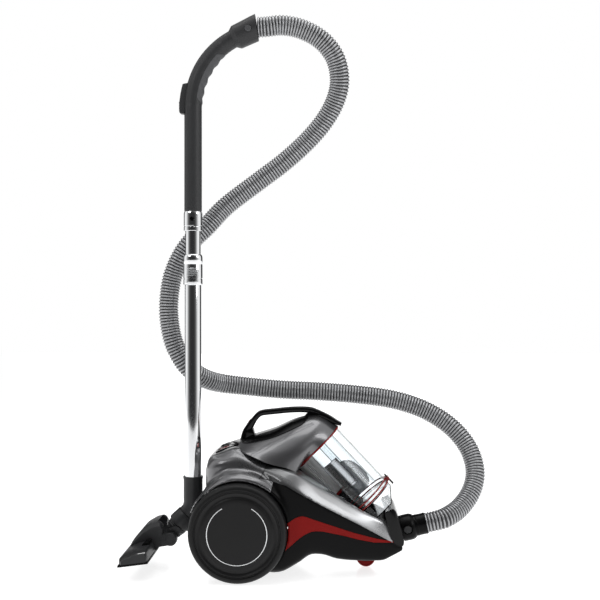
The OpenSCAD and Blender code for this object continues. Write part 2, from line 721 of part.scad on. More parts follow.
module past_horn_face() {
  translate([horn_face[0], 0, horn_face[1]]) rotate([0, -horn_face_tilt, 0])
    translate([0, -40, -60]) cube([80, 80, 120]);
}
insert_angle = 50;
module grip_insert() color("#4a4b4e") translate([wand_x + bend_r, 0, bend_z]) rotate([90, 0, 0])
  rotate([0, 0, 180 - insert_angle])
  rotate_extrude(angle = insert_angle - 0.6) translate([bend_r, 0]) intersection() {
    difference() {
      circle(r = grip_r);
      circle(r = grip_r - 1.42);
    }
    translate([-grip_r - 1, -grip_r - 1]) square([grip_r - 3, 2 * grip_r + 2]);
  }
module bleed_slider() color("#2a2b2d") translate([wand_x - grip_r - 9, -9, bend_z - 14]) difference() {
  cube([9 - pass_gap, 18, 62]);
  translate([-1, -1, 50]) rotate([0, -30, 0]) cube([20, 20, 40]);
}
module hose_cuff() color("#151516") at_bend_end() difference() {
  translate([0, 0, 8]) tube(hose_d / 2, hose_d / 2 - 2.4, horn_len);
  translate([0, 0, release_s]) rotate([90, 0, 0]) cylinder(r = release_r + pass_gap, h = 60);
  at_bend_end_back() past_horn_face();
}
module wand_button() color("#202022") translate([wand_x, 0, button_z]) rotate([90, 0, 0])
  translate([0, 0, upper_r + 0.6]) cylinder(r = button_r, h = 4.6);
module hose_release_button() color("#343538") at_bend_end() translate([0, 0, release_s]) rotate([90, 0, 0])
  translate([0, 0, hose_d / 2 + 0.6]) cylinder(r = release_r, h = 4);

// Neck and park hook
module neck_socket() color("#232426") difference() {
  union() {
    translate([wand_x, 0, elbow_z]) cylinder(r = lower_r + 2.5, h = socket_top - elbow_z);
    translate([wand_x, 0, elbow_z]) sphere(r = lower_r + 2.5);
    on_neck(0) cylinder(r = lower_r + 2.5, h = 16);
    translate([rear_x - 10, -12, 104]) cube([6, 24, 40]);
    translate([wand_x + lower_r, -12, 136]) cube([rear_x - 10 - wand_x - lower_r + 2, 24, 8]);
  }
  translate([wand_x, 0, 136]) cylinder(r = lower_r + 0.02, h = 60);
  translate([wand_x, 0, elbow_z]) cylinder(r = lower_r - 1, h = 60);
  translate([wand_x, 0, elbow_z]) sphere(r = lower_r - 1);
  on_neck(0) cylinder(r = lower_r - 1, h = 30);
}
yoke_half = 26;
module neck_collar() color("#3b3c3f") difference() {
  union() {
    on_neck(16.5) cylinder(r1 = 21, r2 = 24, h = 30);
    on_neck(6) cylinder(r = lower_r - 1 - fit, h = 12);
    on_neck(46) cylinder(r = 19, h = 12);
    both_sides() hull() {
      rod_y(9, yoke_half - 4, yoke_half, pivot_x, pivot_z);
      on_neck(38) translate([-9, yoke_half - 10, 0]) cube([18, 6, 4]);
    }
    both_sides() rod_y(pivot_r, yoke_half - 2, yoke_half + 14, pivot_x, pivot_z);
  }
  on_neck(0) cylinder(r = lower_r - 4, h = 70);
}
module head_cover() color("#202124") difference() {
  union() {
    intersection() {
      on_head() along_y(-head_w / 2, head_w / 2) polygon([
        [lip_x, sole_z + 4], [lip_x + 1, sole_z + 14], [lip_x + 8, -3], [-60, 3], [heel_x, 4], [heel_x, sole_z + 4]
      ]);
      translate([-400, -head_w / 2, -10]) cube([400, head_w, 200]);
    }
    on_head() along_y(-44, 44) polygon([
      [lip_x + 8, sole_z + 5], [lip_x + 12, 0], [-52, 29], [-34, 36], [-18, 39], [-12, 30], [-22, -8], [-28, sole_z + 5]
    ]);
    on_head() both_sides() difference() {
      union() {
        rod_y(13, yoke_half + 2, 44, 0, 0);
        translate([-30, yoke_half + 2, -9]) cube([26, 44 - yoke_half - 2, 18]);
      }
    }
  }
  on_head() both_sides() rod_y(pivot_r + fit, 20, yoke_half + 16, 0, 0);
  on_head() along_y(-head_w / 2 + 3, head_w / 2 - 3) polygon([
    [lip_x + 3, sole_z], [lip_x + 4, sole_z + 12], [lip_x + 10, -6], [-60, 0], [heel_x - 3, 1], [heel_x - 3, sole_z]
  ]);
  on_head() along_y(-yoke_half - 1, yoke_half + 1) polygon([
    [lip_x + 10, sole_z], [lip_x + 15, -2], [-50, 26], [-30, 33], [8, 60], [40, 0], [0, -30], [-36, sole_z]
  ]);
  on_head() mode_pedal_form(pass_gap, 20);
}
module mode_pedal_form(grow, sink) {
  translate([-50 - grow, -82 - grow, -7 - sink]) cube([15 + 2 * grow, 30 + 2 * grow, 15 + sink + 10 * grow]);
}
slot_x0 = -70;
slot_x1 = -48;
roller_x = -40;
roller_z = sole_z + 4;
roller_r = 5;
roller_pin_r = 1.5;
module head_sole() color("#141415") on_head() difference() {
  union() {
    translate([lip_x + 0.2, -head_w / 2, sole_z]) cube([heel_x - lip_x, head_w, 3.6]);
    both_sides() for (y = [44, 26]) translate([roller_x - 4, head_w / 2 - y, sole_z + 1])
      cube([8, 3.5, 6]);
  }
  both_sides() rod_y(roller_pin_r + fit, head_w / 2 - 50, head_w / 2 - 20, roller_x, roller_z);
  translate([slot_x0, -head_w / 2 + 12, sole_z - 1]) cube([slot_x1 - slot_x0, head_w - 24, 10]);
  both_sides() translate([slot_x0 - 8 - pass_gap, 10, sole_z - 1]) cube([4 + 2 * pass_gap, head_w / 2 - 20, 10]);
  both_sides() translate([roller_x - 6, head_w / 2 - 39.5, sole_z - 1]) cube([12, 13, 20]);
}
module brush_strips() color("#2b2320") on_head() both_sides()
  translate([slot_x0 - 8, 10 + pass_gap, sole_z + 0.5]) cube([4, head_w / 2 - 20 - 2 * pass_gap, 9]);
module head_rollers() color("#3c3d40") on_head() both_sides() {
  rod_y(roller_r, head_w / 2 - 38, head_w / 2 - 28, roller_x, roller_z);
  rod_y(roller_pin_r, head_w / 2 - 43, head_w / 2 - 23, roller_x, roller_z);
}
module mode_pedal() color("#2e2f32") on_head() mode_pedal_form(0, 0);

// Hose route, from the coupling to the handle
hose_points = [
  [300.6, 0, 88.6], [318, 0, 92.6], [340, 5, 98.5], [371, 27, 114], [398, 50, 145],
  [408, 70, 184], [396, 88, 228], [362, 100, 270],
  [309, 110, 304], [243, 115, 326], [168, 115, 337], [82, 115, 344], [-4, 115, 348], [-77, 112, 355],
  [-128, 100, 362], [-158, 80, 372], [-182, 62, 388], [-203, 50, 411], [-222, 45, 449], [-232, 45, 495],
  [-233, 45, 541], [-225, 45, 591], [-206, 45, 635], [-183, 48, 667], [-156, 55, 694], [-115, 66, 739],
  [-46, 70, 792], [6, 70, 831], [56, 65, 875], [93, 55, 917], [116, 45, 958], [124, 34, 998], [114, 22, 1041],
  [85, 12, 1075], [43, 6, 1096], [6, 2, 1102], [-22, 0, 1099], [-41, 0, 1098]
];
function smooth(p, i, t) =
  let (a = p[max(i - 1, 0)], b = p[i], c = p[min(i + 1, len(p) - 1)], d = p[min(i + 2, len(p) - 1)])
  0.5 * (2 * b + (c - a) * t + (2 * a - 5 * b + 4 * c - d) * t * t + (3 * b - a - 3 * c + d) * t * t * t);
hose_path = concat(
  [for (i = [0 : len(hose_points) - 2], t = [0, 0.5]) smooth(hose_points, i, t)],
  [hose_points[len(hose_points) - 1]]
);
function unit(v) = v / norm(v);
function tangent(p, i) = unit(p[min(i + 1, len(p) - 1)] - p[max(i - 1, 0)]);
function ring_at(c, t, r, n) =
  let (u = unit(cross(t, [0.1, 1, 0.2])), v = cross(t, u))
  [for (k = [0 : n - 1]) c + r * (cos(360 * k / n) * u + sin(360 * k / n) * v)];
module hollow_sweep(path, r_out, r_in, n) {
  rings = len(path);
  outer = [for (i = [0 : rings - 1]) each ring_at(path[i], tangent(path, i), r_out, n)];
  inner = [for (i = [0 : rings - 1]) each ring_at(path[i], tangent(path, i), r_in, n)];
  base = rings * n;
  last = (rings - 1) * n;
  polyhedron(concat(outer, inner), concat(
    [for (i = [0 : n : last - n], k = [0 : n - 1])
      let (m = (k + 1) % n) [i + k, i + n + k, i + n + m, i + m]],
    [for (i = [base : n : base + last - n], k = [0 : n - 1])
      let (m = (k + 1) % n) [i + k, i + m, i + n + m, i + n + k]],
    [for (k = [0 : n - 1]) let (m = (k + 1) % n) [k, m, base + m, base + k]],
    [for (k = [0 : n - 1]) let (m = (k + 1) % n) [last + k, base + last + k, base + last + m, last + m]]
  ));
}
module suction_hose() color("#9c9ea0") hollow_sweep(hose_path, hose_d / 2, hose_d / 2 - hose_wall, 10);

base_shell();
upper_shell();
side_panels();
accent_strips();
inlet_bezel();
inlet_duct();
cup_cradle();
rear_deck();
motor_housing();
motor_can();
premotor_filter();
reel_axle();
cord_outlet();
exhaust_grille();
power_switch();
wheel_axles();
base_screws();
suction_hose();
motor_rotor();
motor_fan();
cord_reel();
wheel_hub_left();
wheel_hub_right();
wheel_tyre_left();
wheel_tyre_right();
hubcap_left();
hubcap_right();
castor_fork();
castor_wheel();
cup_cowl();
top_cover();
carry_handle();
dust_bin();
top_ring();
bottom_ring();
cyclone_body();
pleated_filter();
bottom_lid();
lid_latch();
cup_button();
power_pedal();
rewind_pedal();
hose_coupling();
coupling_button();
lower_tube();
neck_socket();
lock_collar();
upper_tube();
grip_handle();
grip_insert();
hose_cuff();
bleed_slider();
hose_release_button();
wand_button();
neck_collar();
head_cover();
head_sole();
mode_pedal();
brush_strips();
head_rollers();
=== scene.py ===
import math

import bpy
import bmesh
import numpy as np
from mathutils import Matrix, Vector


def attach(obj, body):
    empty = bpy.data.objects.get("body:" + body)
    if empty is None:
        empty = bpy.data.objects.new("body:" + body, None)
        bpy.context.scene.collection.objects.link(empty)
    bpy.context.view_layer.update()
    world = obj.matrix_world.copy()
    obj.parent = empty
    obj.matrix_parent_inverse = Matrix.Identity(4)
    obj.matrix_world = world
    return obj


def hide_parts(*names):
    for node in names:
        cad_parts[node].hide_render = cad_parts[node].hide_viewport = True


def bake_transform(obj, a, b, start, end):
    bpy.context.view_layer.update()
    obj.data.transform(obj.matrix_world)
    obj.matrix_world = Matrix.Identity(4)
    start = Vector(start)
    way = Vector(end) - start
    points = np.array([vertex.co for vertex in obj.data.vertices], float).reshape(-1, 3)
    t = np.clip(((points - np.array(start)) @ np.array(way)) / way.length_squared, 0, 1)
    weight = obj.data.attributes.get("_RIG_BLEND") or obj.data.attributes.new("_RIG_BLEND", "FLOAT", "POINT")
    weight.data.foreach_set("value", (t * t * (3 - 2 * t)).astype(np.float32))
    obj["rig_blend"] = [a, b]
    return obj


bl_info = {
    "name": "Canister Vacuum Cleaner",
    "version": (1, 0, 0),
    "blender": (4, 2, 0),
    "location": "View3D > Sidebar > Vacuum",
    "description": "Builds the visible pieces of a bagless canister vacuum cleaner around its frame",
    "category": "Object",
}

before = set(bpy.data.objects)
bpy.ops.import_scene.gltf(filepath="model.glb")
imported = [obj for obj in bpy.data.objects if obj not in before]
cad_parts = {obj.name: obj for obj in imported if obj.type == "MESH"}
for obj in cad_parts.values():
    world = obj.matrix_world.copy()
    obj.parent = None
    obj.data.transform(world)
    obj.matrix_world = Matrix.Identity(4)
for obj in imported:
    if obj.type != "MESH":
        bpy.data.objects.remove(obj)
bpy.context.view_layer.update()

MM = 0.001
WHEEL_X, WHEEL_Z, WHEEL_Y = -72.0, 95.0, 108.0
CUP = Vector((72.0, 0.0, 239.0))
TILT = math.radians(46.8)
CUP_DOWN = Vector((math.cos(TILT), 0.0, -math.sin(TILT)))
CUP_UP = Vector((math.sin(TILT), 0.0, math.cos(TILT)))
SIDE = Vector((0.0, 1.0, 0.0))
BIN_R, RING_R, BIN_LEN = 63.5, 66.0, 150.0
BAY_R, BAY_GAP = 69.8, 2.6
WAND_X = -176.0
PORT = Vector((246.0, 0.0, 76.0))
PORT_TILT = math.radians(13.0)
PORT_OUT = Vector((math.cos(PORT_TILT), 0.0, math.sin(PORT_TILT)))
PORT_UP = Vector((-math.sin(PORT_TILT), 0.0, math.cos(PORT_TILT)))
PIVOT = Vector((-216.0, 0.0, 60.0))
HEAD_TILT = math.radians(7.5)
SMOOTH_ANGLE = math.radians(32)
VOLUME_SLACK = 0.02
MERGE_DISTANCE = 2e-6
BARREL_ASIDE, FILTER_ASIDE = 15.0, -33.0
BEND_R, BEND_START, BEND_TURN = 156.0, 937.0, math.radians(65)
BEND_WAY = Vector((math.sin(BEND_TURN), 0.0, math.cos(BEND_TURN)))
BEND_END = Vector((WAND_X + BEND_R * (1 - math.cos(BEND_TURN)), 0.0,
                   BEND_START + BEND_R * math.sin(BEND_TURN)))
CATCH_Z, HAND_R = 706.0, 17.9


# ---------------------------------------------------------------- forms
def smooth_line(points, per=6):
    """A smooth open line through the points."""
    p = [Vector(q) for q in points]
    out = []
    for i in range(len(p) - 1):
        a, b, c, d = p[max(i - 1, 0)], p[i], p[i + 1], p[min(i + 2, len(p) - 1)]
        for k in range(per):
            t = k / per
            out.append(0.5 * (2 * b + (c - a) * t + (2 * a - 5 * b + 4 * c - d) * t * t
                              + (3 * b - a - 3 * c + d) * t ** 3))
    return out + [p[-1]]


def smooth_loop(points, per=5):
    """A smooth closed loop through the points."""
    p = [Vector(q) for q in points]
    n = len(p)
    out = []
    for i in range(n):
        a, b, c, d = p[i - 1], p[i], p[(i + 1) % n], p[(i + 2) % n]
        for k in range(per):
            t = k / per
            out.append(0.5 * (2 * b + (c - a) * t + (2 * a - 5 * b + 4 * c - d) * t * t
                              + (3 * b - a - 3 * c + d) * t ** 3))
    return out


def rounded(points, radii, per=5):
    """A closed outline whose corners are rounded to the radii, in the outline's own plane."""
    p = [Vector(q) for q in points]
    n = len(p)
    radii = [radii] * n if isinstance(radii, (int, float)) else radii
    out = []
    for i in range(n):
        a, b, c = p[i - 1], p[i], p[(i + 1) % n]
        u, v = (a - b), (c - b)
        r = min(radii[i], 0.45 * u.length, 0.45 * v.length)
        if r < 0.05:
            out.append(b)
            continue
        s, e = b + u.normalized() * r, b + v.normalized() * r
        for k in range(per + 1):
            t = k / per
            out.append(s * (1 - t) ** 2 + b * 2 * t * (1 - t) + e * t * t)
    return out


def line_value(stations):
    """A smooth function of x through the stations."""
    xs = np.array([s[0] for s in stations], float)
    ys = np.array([s[1] for s in stations], float)
    d = np.diff(ys) / np.diff(xs)
    m = np.zeros(len(xs))
    m[0], m[-1] = d[0], d[-1]
    for i in range(1, len(xs) - 1):
        m[i] = 0 if d[i - 1] * d[i] <= 0 else 2 * d[i - 1] * d[i] / (d[i - 1] + d[i])

    def value(x):
        x = min(max(x, xs[0]), xs[-1])
        i = min(max(int(np.searchsorted(xs, x)) - 1, 0), len(xs) - 2)
        h = xs[i + 1] - xs[i]
        t = (x - xs[i]) / h
        return float((1 + 2 * t) * (1 - t) ** 2 * ys[i] + t * (1 - t) ** 2 * h * m[i]
                     + t * t * (3 - 2 * t) * ys[i + 1] + t * t * (t - 1) * h * m[i + 1])
    return value


def joined(*shapes):
    """Several (points, faces) shapes as one."""
    points, faces = [], []
    for v, f in shapes:
        base = len(points)
        points += list(v)
        faces += [[base + i for i in face] for face in f]
    return points, faces


def moved(shape, matrix):
    return [matrix @ Vector(p) for p in shape[0]], shape[1]


def mirrored(shape):
    return [Vector((p[0], -p[1], p[2])) for p in shape[0]], [list(reversed(f)) for f in shape[1]]


def loft(rings, closed=True, caps=True):
    """A skin over rings that have the same number of points."""
    n = len(rings[0])
    points = [p for ring in rings for p in ring]
    faces = []
    for i in range(len(rings) - 1):
        for k in range(n if closed else n - 1):
            m = (k + 1) % n
            faces.append([i * n + k, i * n + m, (i + 1) * n + m, (i + 1) * n + k])
    if caps:
        faces.append(list(range(n))[::-1])
        faces.append([(len(rings) - 1) * n + k for k in range(n)])
    return points, faces


def lathe(profile, segments=64, centre=(0, 0, 0), axis=(0, 0, 1), loop=False, start=0.0, turn=360.0):
    """A profile of (radius, distance) turned about an axis. loop joins its last point to its first."""
    centre, axis = Vector(centre), Vector(axis).normalized()
    u = axis.orthogonal().normalized() if abs(axis.y) < 0.9 else Vector((1, 0, 0))
    if abs(axis.y) < 0.01:
        u = Vector((0, -1, 0))
    v = axis.cross(u)
    whole = turn >= 359.9
    steps = segments if whole else segments + 1
    rings = []
    for k in range(steps):
        a = math.radians(start + turn * k / segments)
        d = math.cos(a) * u + math.sin(a) * v
        rings.append([centre + d * r + axis * s for r, s in profile])
    n = len(profile)
    points = [p for ring in rings for p in ring]
    faces = []
    for i in range(segments):
        j = (i + 1) % steps
        for k in range(n if loop else n - 1):
            m = (k + 1) % n
            faces.append([i * n + k, j * n + k, j * n + m, i * n + m])
    if not whole and loop:
        faces.append(list(range(n)))
        faces.append([segments * n + k for k in range(n)][::-1])
    return points, faces


def circle(radius, n):
    """n points of a circle, as (u, v) pairs."""
    turns = [2 * math.pi * k / n for k in range(n)]
    return [(radius * math.cos(a), radius * math.sin(a)) for a in turns]


def sweep(path, profile, scale=None, caps=True, up=(0, 1, 0)):
    """A closed (u, v) profile carried along a path. u lies along up as nearly as it can."""
    path = [Vector(p) for p in path]
    rings = []
    for i, p in enumerate(path):
        t = (path[min(i + 1, len(path) - 1)] - path[max(i - 1, 0)]).normalized()
        u = (Vector(up) - t * t.dot(Vector(up))).normalized()
        v = t.cross(u)
        f = i / (len(path) - 1)
        su, sv = scale(f) if scale else (1.0, 1.0)
        rings.append([p + u * a * su + v * b * sv for a, b in profile])
    return loft(rings, caps=caps)


def prism(outline, y0, y1):
    """An (x, z) outline drawn out along Y."""
    return loft([[Vector((p[0], y, p[1])) for p in outline] for y in (y0, y1)])


def plate(outline, z0, z1):
    """An (x, y) outline drawn out along Z."""
    return loft([[Vector((p[0], p[1], z)) for p in outline] for z in (z0, z1)])


def patch(control, nu=24, nv=24):
    """A smooth surface through a grid of control points, as a grid of points."""
    rows = [smooth_line(row, max(1, nv // (len(row) - 1))) for row in control]
    columns = [smooth_line([row[k] for row in rows], max(1, nu // (len(rows) - 1)))
               for k in range(len(rows[0]))]
    return [[columns[k][i] for k in range(len(columns))] for i in range(len(columns[0]))]


def walled(grid, inward, outward=0.0):
    """A closed shell from a grid of points, from inward under it to outward over it along its normals."""
    m, n = len(grid), len(grid[0])
    skin, lining = [], []
    for i in range(m):
        for k in range(n):
            du = grid[min(i + 1, m - 1)][k] - grid[max(i - 1, 0)][k]
            dv = grid[i][min(k + 1, n - 1)] - grid[i][max(k - 1, 0)]
            normal = du.cross(dv)
            normal = normal.normalized() if normal.length > 1e-9 else Vector((0, 0, 1))
            skin.append(grid[i][k] + normal * outward)
            lining.append(grid[i][k] - normal * inward)
    faces = []
    base = m * n
    for i in range(m - 1):
        for k in range(n - 1):
            q = [i * n + k, i * n + k + 1, (i + 1) * n + k + 1, (i + 1) * n + k]
            faces += [q, [base + j for j in reversed(q)]]
    rim = ([k for k in range(n)] + [i * n + n - 1 for i in range(1, m)]
           + [(m - 1) * n + k for k in range(n - 2, -1, -1)] + [i * n for i in range(m - 2, 0, -1)])
    for a, b in zip(rim, rim[1:] + rim[:1]):
        faces.append([a, base + a, base + b, b])
    return skin + lining, faces


def solid(shape, name="form"):
    """The shape, in millimetres, as an object in metres with its faces outward."""
    mesh = bpy.data.meshes.new(name)
    mesh.from_pydata([Vector(p) * MM for p in shape[0]], [], [list(f) for f in shape[1]])
    tidy(mesh)
    made = bpy.data.objects.new(name, mesh)
    bpy.context.scene.collection.objects.link(made)
    return made


def tidy(mesh, merge=1e-6):
    work = bmesh.new()
    work.from_mesh(mesh)
    bmesh.ops.remove_doubles(work, verts=work.verts, dist=merge)
    bmesh.ops.dissolve_degenerate(work, edges=work.edges, dist=merge)
    bmesh.ops.recalc_face_normals(work, faces=work.faces)
    work.to_mesh(mesh)
    work.free()


def applied(made):
    """The object with its modifiers made part of a plain mesh."""
    bpy.context.view_layer.update()
    mesh = bpy.data.meshes.new_from_object(made.evaluated_get(bpy.context.evaluated_depsgraph_get()))
    made.modifiers.clear()
    made.data = mesh
    return made


def volume_of(mesh):
    work = bmesh.new()
    work.from_mesh(mesh)
    volume = work.calc_volume(signed=True)
    work.free()
    return volume


def carved(made, tool, how="DIFFERENCE"):
    """The object less, joined with, or common to the tool, which is used up."""
    # A cut whose volume can't be right is made again with the slower settings.
    before, other = volume_of(made.data), volume_of(tool.data)
    least = {"DIFFERENCE": before - other, "UNION": max(before, other), "INTERSECT": 0.0}[how]
    most = {"DIFFERENCE": before, "UNION": before + other, "INTERSECT": min(before, other)}[how]
    least, most = least * (1 - VOLUME_SLACK) - 1e-9, most * (1 + VOLUME_SLACK)
    whole = made.data
    for tolerant, crossed in ((False, False), (False, True), (True, True)):
        made.data = whole.copy()
        cut = made.modifiers.new("cut", "BOOLEAN")
        cut.operation = how
        cut.solver = "EXACT"
        cut.use_hole_tolerant = tolerant
        cut.use_self = crossed
        cut.object = tool
        applied(made)
        got = volume_of(made.data)
        if made.data.vertices and least <= got <= most:
            break
    else:
        print("uncertain cut:", made.name, tool.name, how, before, other, got)
    bpy.data.objects.remove(tool)
    return made


def copied(made):
    other = made.copy()
    other.data = made.data.copy()
    bpy.context.scene.collection.objects.link(other)
    return other


def softened(made, width, segments=2, angle=38):
    """Its sharp edges eased by a small bevel, in millimetres."""
    ease = made.modifiers.new("ease", "BEVEL")
    ease.width = width * MM
    ease.segments = segments
    ease.limit_method = "ANGLE"
    ease.angle_limit = math.radians(angle)
    ease.harden_normals = False
    return applied(made)


def from_cad(node, ease=0.0):
    """A merged copy of a frame node."""
    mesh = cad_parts[node].data.copy()
    mesh.materials.clear()
    for name in [a.name for a in mesh.attributes if a.name.lower().startswith(("color", "_"))]:
        mesh.attributes.remove(mesh.attributes[name])
    work = bmesh.new()
    work.from_mesh(mesh)
    bmesh.ops.remove_doubles(work, verts=work.verts, dist=MERGE_DISTANCE)
    bmesh.ops.dissolve_limit(work, angle_limit=math.radians(0.5), verts=work.verts, edges=work.edges)
    work.to_mesh(mesh)
    work.free()
    made = bpy.data.objects.new(node + "_form", mesh)
    bpy.context.scene.collection.objects.link(made)
    if ease:
        softened(made, ease)
    return made


def piece(made, name, body, material, nodes=(), angle=SMOOTH_ANGLE):
    """Names, paints and hangs a finished piece on its body."""
    made.name = name
    made.data.name = name
    if material is not None:
        made.data.materials.clear()
        made.data.materials.append(material)
    made.data.shade_smooth()
    made.data.set_sharp_from_angle(angle=angle)
    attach(made, body)
    if nodes:
        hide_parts(*nodes)
    return made


# ---------------------------------------------------------------- finishes
LEAST_ROUGH = 0.02


def new_material(name):
    material = bpy.data.materials.new(name)
    material.use_nodes = True
    tree = material.node_tree
    return material, tree, tree.nodes["Principled BSDF"]


def add(tree, kind, inputs=(), **settings):
    """A new node with its settings. inputs gives its sockets a value or another node's socket to link."""
    node = tree.nodes.new(kind)
    for name, value in settings.items():
        setattr(node, name, value)
    return fed(tree, node, inputs)


def fed(tree, node, inputs):
    for name, value in dict(inputs).items():
        socket = node.inputs[name]
        if isinstance(value, bpy.types.NodeSocket):
            tree.links.new(value, socket)
        else:
            socket.default_value = value
    return node


def object_place(tree, stretch=(1, 1, 1)):
    """Each point's place on the object, stretched along the axes."""
    place = add(tree, "ShaderNodeTexCoord").outputs["Object"]
    return add(tree, "ShaderNodeMapping", {"Vector": place, "Scale": stretch}).outputs["Vector"]


def noise(tree, place, scale, detail=2):
    return add(tree, "ShaderNodeTexNoise", {"Vector": place, "Scale": scale, "Detail": detail}).outputs["Fac"]


def two_tone(tree, share, low, high):
    """A colour between low and high."""
    colors = {"Factor": share, "A": (*low, 1), "B": (*high, 1)}
    return add(tree, "ShaderNodeMix", colors, data_type="RGBA").outputs["Result"]


def ranged(tree, value, low, high, start=0.0, end=1.0):
    """A value carried from the range start to end into the range low to high."""
    limits = {"Value": value, "From Min": start, "From Max": end, "To Min": low, "To Max": high}
    return add(tree, "ShaderNodeMapRange", limits).outputs["Result"]


def relief(tree, height, strength, distance):
    """A bump, with its distance in metres."""
    bump = {"Height": height, "Strength": strength, "Distance": distance}
    return add(tree, "ShaderNodeBump", bump).outputs["Normal"]


def shaded(color, spread):
    """The color made darker and lighter by the spread."""
    return [c * (1 - spread) for c in color], [min(1.0, c * (1 + spread)) for c in color]


def grained(name, color, rough=0.4, grain=900.0, depth=0.12, spread=0.18, metal=0.0, coat=0.0,
            rough_spread=0.08, specular=0.5, blotch=9.0, stretch=(1, 1, 1)):
    """A moulded or lacquered finish: a little tone and gloss variation, and a fine moulded grain."""
    material, tree, shader = new_material(name)
    place = object_place(tree, stretch)
    cloud = noise(tree, place, blotch, 4)
    fed(tree, shader, {
        "Base Color": two_tone(tree, cloud, *shaded(color, spread)),
        "Roughness": ranged(tree, cloud, max(LEAST_ROUGH, rough - rough_spread), rough + rough_spread, 0.3,
                            0.7),
        "Normal": relief(tree, noise(tree, place, grain), depth, 0.0004),
        "Metallic": metal, "Coat Weight": coat, "Coat Roughness": 0.08, "Specular IOR Level": specular})
    return material


def flake_lacquer(name, color, rough=0.3, metal=0.7, coat=0.8, flake=2600.0, spread=0.1, fade=None):
    """Metallic lacquer: tiny flakes under a clear coat. fade (x0, x1, low) paints shade into it: the colour
    darkens along X toward x0, down to low times its tone at x0.
    """
    material, tree, shader = new_material(name)
    place = object_place(tree)
    flakes = add(tree, "ShaderNodeTexVoronoi", {"Vector": place, "Scale": flake}).outputs["Distance"]
    tone = two_tone(tree, flakes, *shaded(color, spread))
    # Painted shade: the tone is multiplied darker along X toward x0, in place of a darker reflection there.
    if fade:
        axes = add(tree, "ShaderNodeSeparateXYZ", {"Vector": place})
        level = ranged(tree, axes.outputs["X"], fade[2], 1.0, fade[0], fade[1])
        painted_shade_mix = {"Factor": 1.0, "A": tone, "B": level}
        tone = add(tree, "ShaderNodeMix", painted_shade_mix, data_type="RGBA", blend_type="MULTIPLY").outputs["Result"]
    fed(tree, shader, {
        "Base Color": tone,
        "Roughness": ranged(tree, noise(tree, place, 14.0, 3), rough - 0.04, rough + 0.04, 0.35, 0.65),
        "Normal": relief(tree, flakes, 0.05, 0.0002),
        "Metallic": metal, "Coat Weight": coat, "Coat Roughness": 0.06})
    return material


def brushed_metal(name, color, rough=0.12, depth=0.04, along=(1, 1, 0.02), scale=1400.0):
    """Drawn or polished metal with fine lines along its length."""
    material, tree, shader = new_material(name)
    lines = noise(tree, object_place(tree, along), scale)
    fed(tree, shader, {
        "Base Color": two_tone(tree, lines, [c * 0.94 for c in color], color),
        "Roughness": ranged(tree, lines, max(LEAST_ROUGH, rough * 0.7), rough * 1.4),
        "Normal": relief(tree, lines, depth, 0.0001),
        "Metallic": 1.0})
    return material


def clear_plastic(name, tint=(0.93, 0.95, 0.96)):
    """Clear moulded plastic with faint flow marks."""
    material, tree, shader = new_material(name)
    fed(tree, shader, {
        "Base Color": (*tint, 1),
        "Roughness": ranged(tree, noise(tree, object_place(tree), 18.0), 0.01, 0.05),
        "Transmission Weight": 1.0, "IOR": 1.3})
    return material


FINISH = {}


def make_finishes(paint):
    FINISH.update(
        black=grained("Satin black moulding", paint.base_black, 0.3, 700, 0.10, specular=0.09),
        gloss=grained("Gloss black moulding", (0.002, 0.002, 0.0022), 0.14, 300, 0.02, rough_spread=0.03,
                      specular=0.2),
        charcoal=grained("Charcoal moulding", paint.charcoal, 0.44, 1100, 0.16, specular=0.3),
        head=grained("Floorhead moulding", (0.026, 0.0265, 0.028), 0.36, 900, 0.12, specular=0.25),
        grey=flake_lacquer("Grey metallic lacquer", paint.metallic_grey, 0.3, 0.75),
        # The silver panels carry painted shade: darker toward the rear by the wheel (x -0.02 m), full tone
        # from x 0.2 m forward.
        silver=flake_lacquer("Silver lacquer with painted shade", paint.silver, 0.3, 0.8, 0.5, fade=(-0.02, 0.2, 0.16)),
        red=grained("Red moulding", paint.accent_red, 0.28, 500, 0.04, specular=0.09),
        ring_red=grained("Red ring", (0.20, 0.007, 0.006), 0.2, 500, 0.03, specular=0.25),
        clear=clear_plastic("Clear bin plastic"),
        pale=grained("Grey cyclone moulding", (0.40, 0.405, 0.42), 0.3, 400, 0.04, coat=0.3),
        pleat=grained("Filter pleats", (0.8, 0.79, 0.78), 0.7, 500, 0.4, stretch=(1, 1, 4)),
        foam=grained("Filter foam", (0.05, 0.09, 0.15), 0.9, 900, 1.0, spread=0.35, blotch=220),
        tyre=grained("Wheel rubber", (0.008, 0.008, 0.0083), 0.42, 600, 0.12, specular=0.2),
        cap=grained("Hubcap moulding", (0.009, 0.009, 0.0093), 0.36, 800, 0.08, specular=0.2),
        soft=grained("Soft grip", (0.06, 0.061, 0.065), 0.55, 1300, 0.2),
        chrome=brushed_metal("Polished tube", (0.86, 0.87, 0.88), 0.07),
        collar=brushed_metal("Brushed collar", (0.62, 0.63, 0.65), 0.2, 0.02),
        inlay=brushed_metal("Inlay ring", (0.8, 0.81, 0.82), 0.25, 0.05, (1, 1, 1)),
        steel=brushed_metal("Plain steel", (0.5, 0.51, 0.53), 0.3, 0.1, (1, 1, 1)),
        copper=grained("Winding", (0.45, 0.2, 0.09), 0.35, 300, 0.5, metal=0.8),
        hose=grained("Hose rib plastic", paint.hose_grey, 0.3, 500, 0.03, metal=0.55, coat=0.3),
        hose_wall=grained("Hose inner wall", (0.02, 0.02, 0.022), 0.45, 500, 0.05),
        bristle=grained("Bristles", (0.02, 0.016, 0.015), 0.8, 1500, 0.8, stretch=(4, 4, 0.3)),
    )


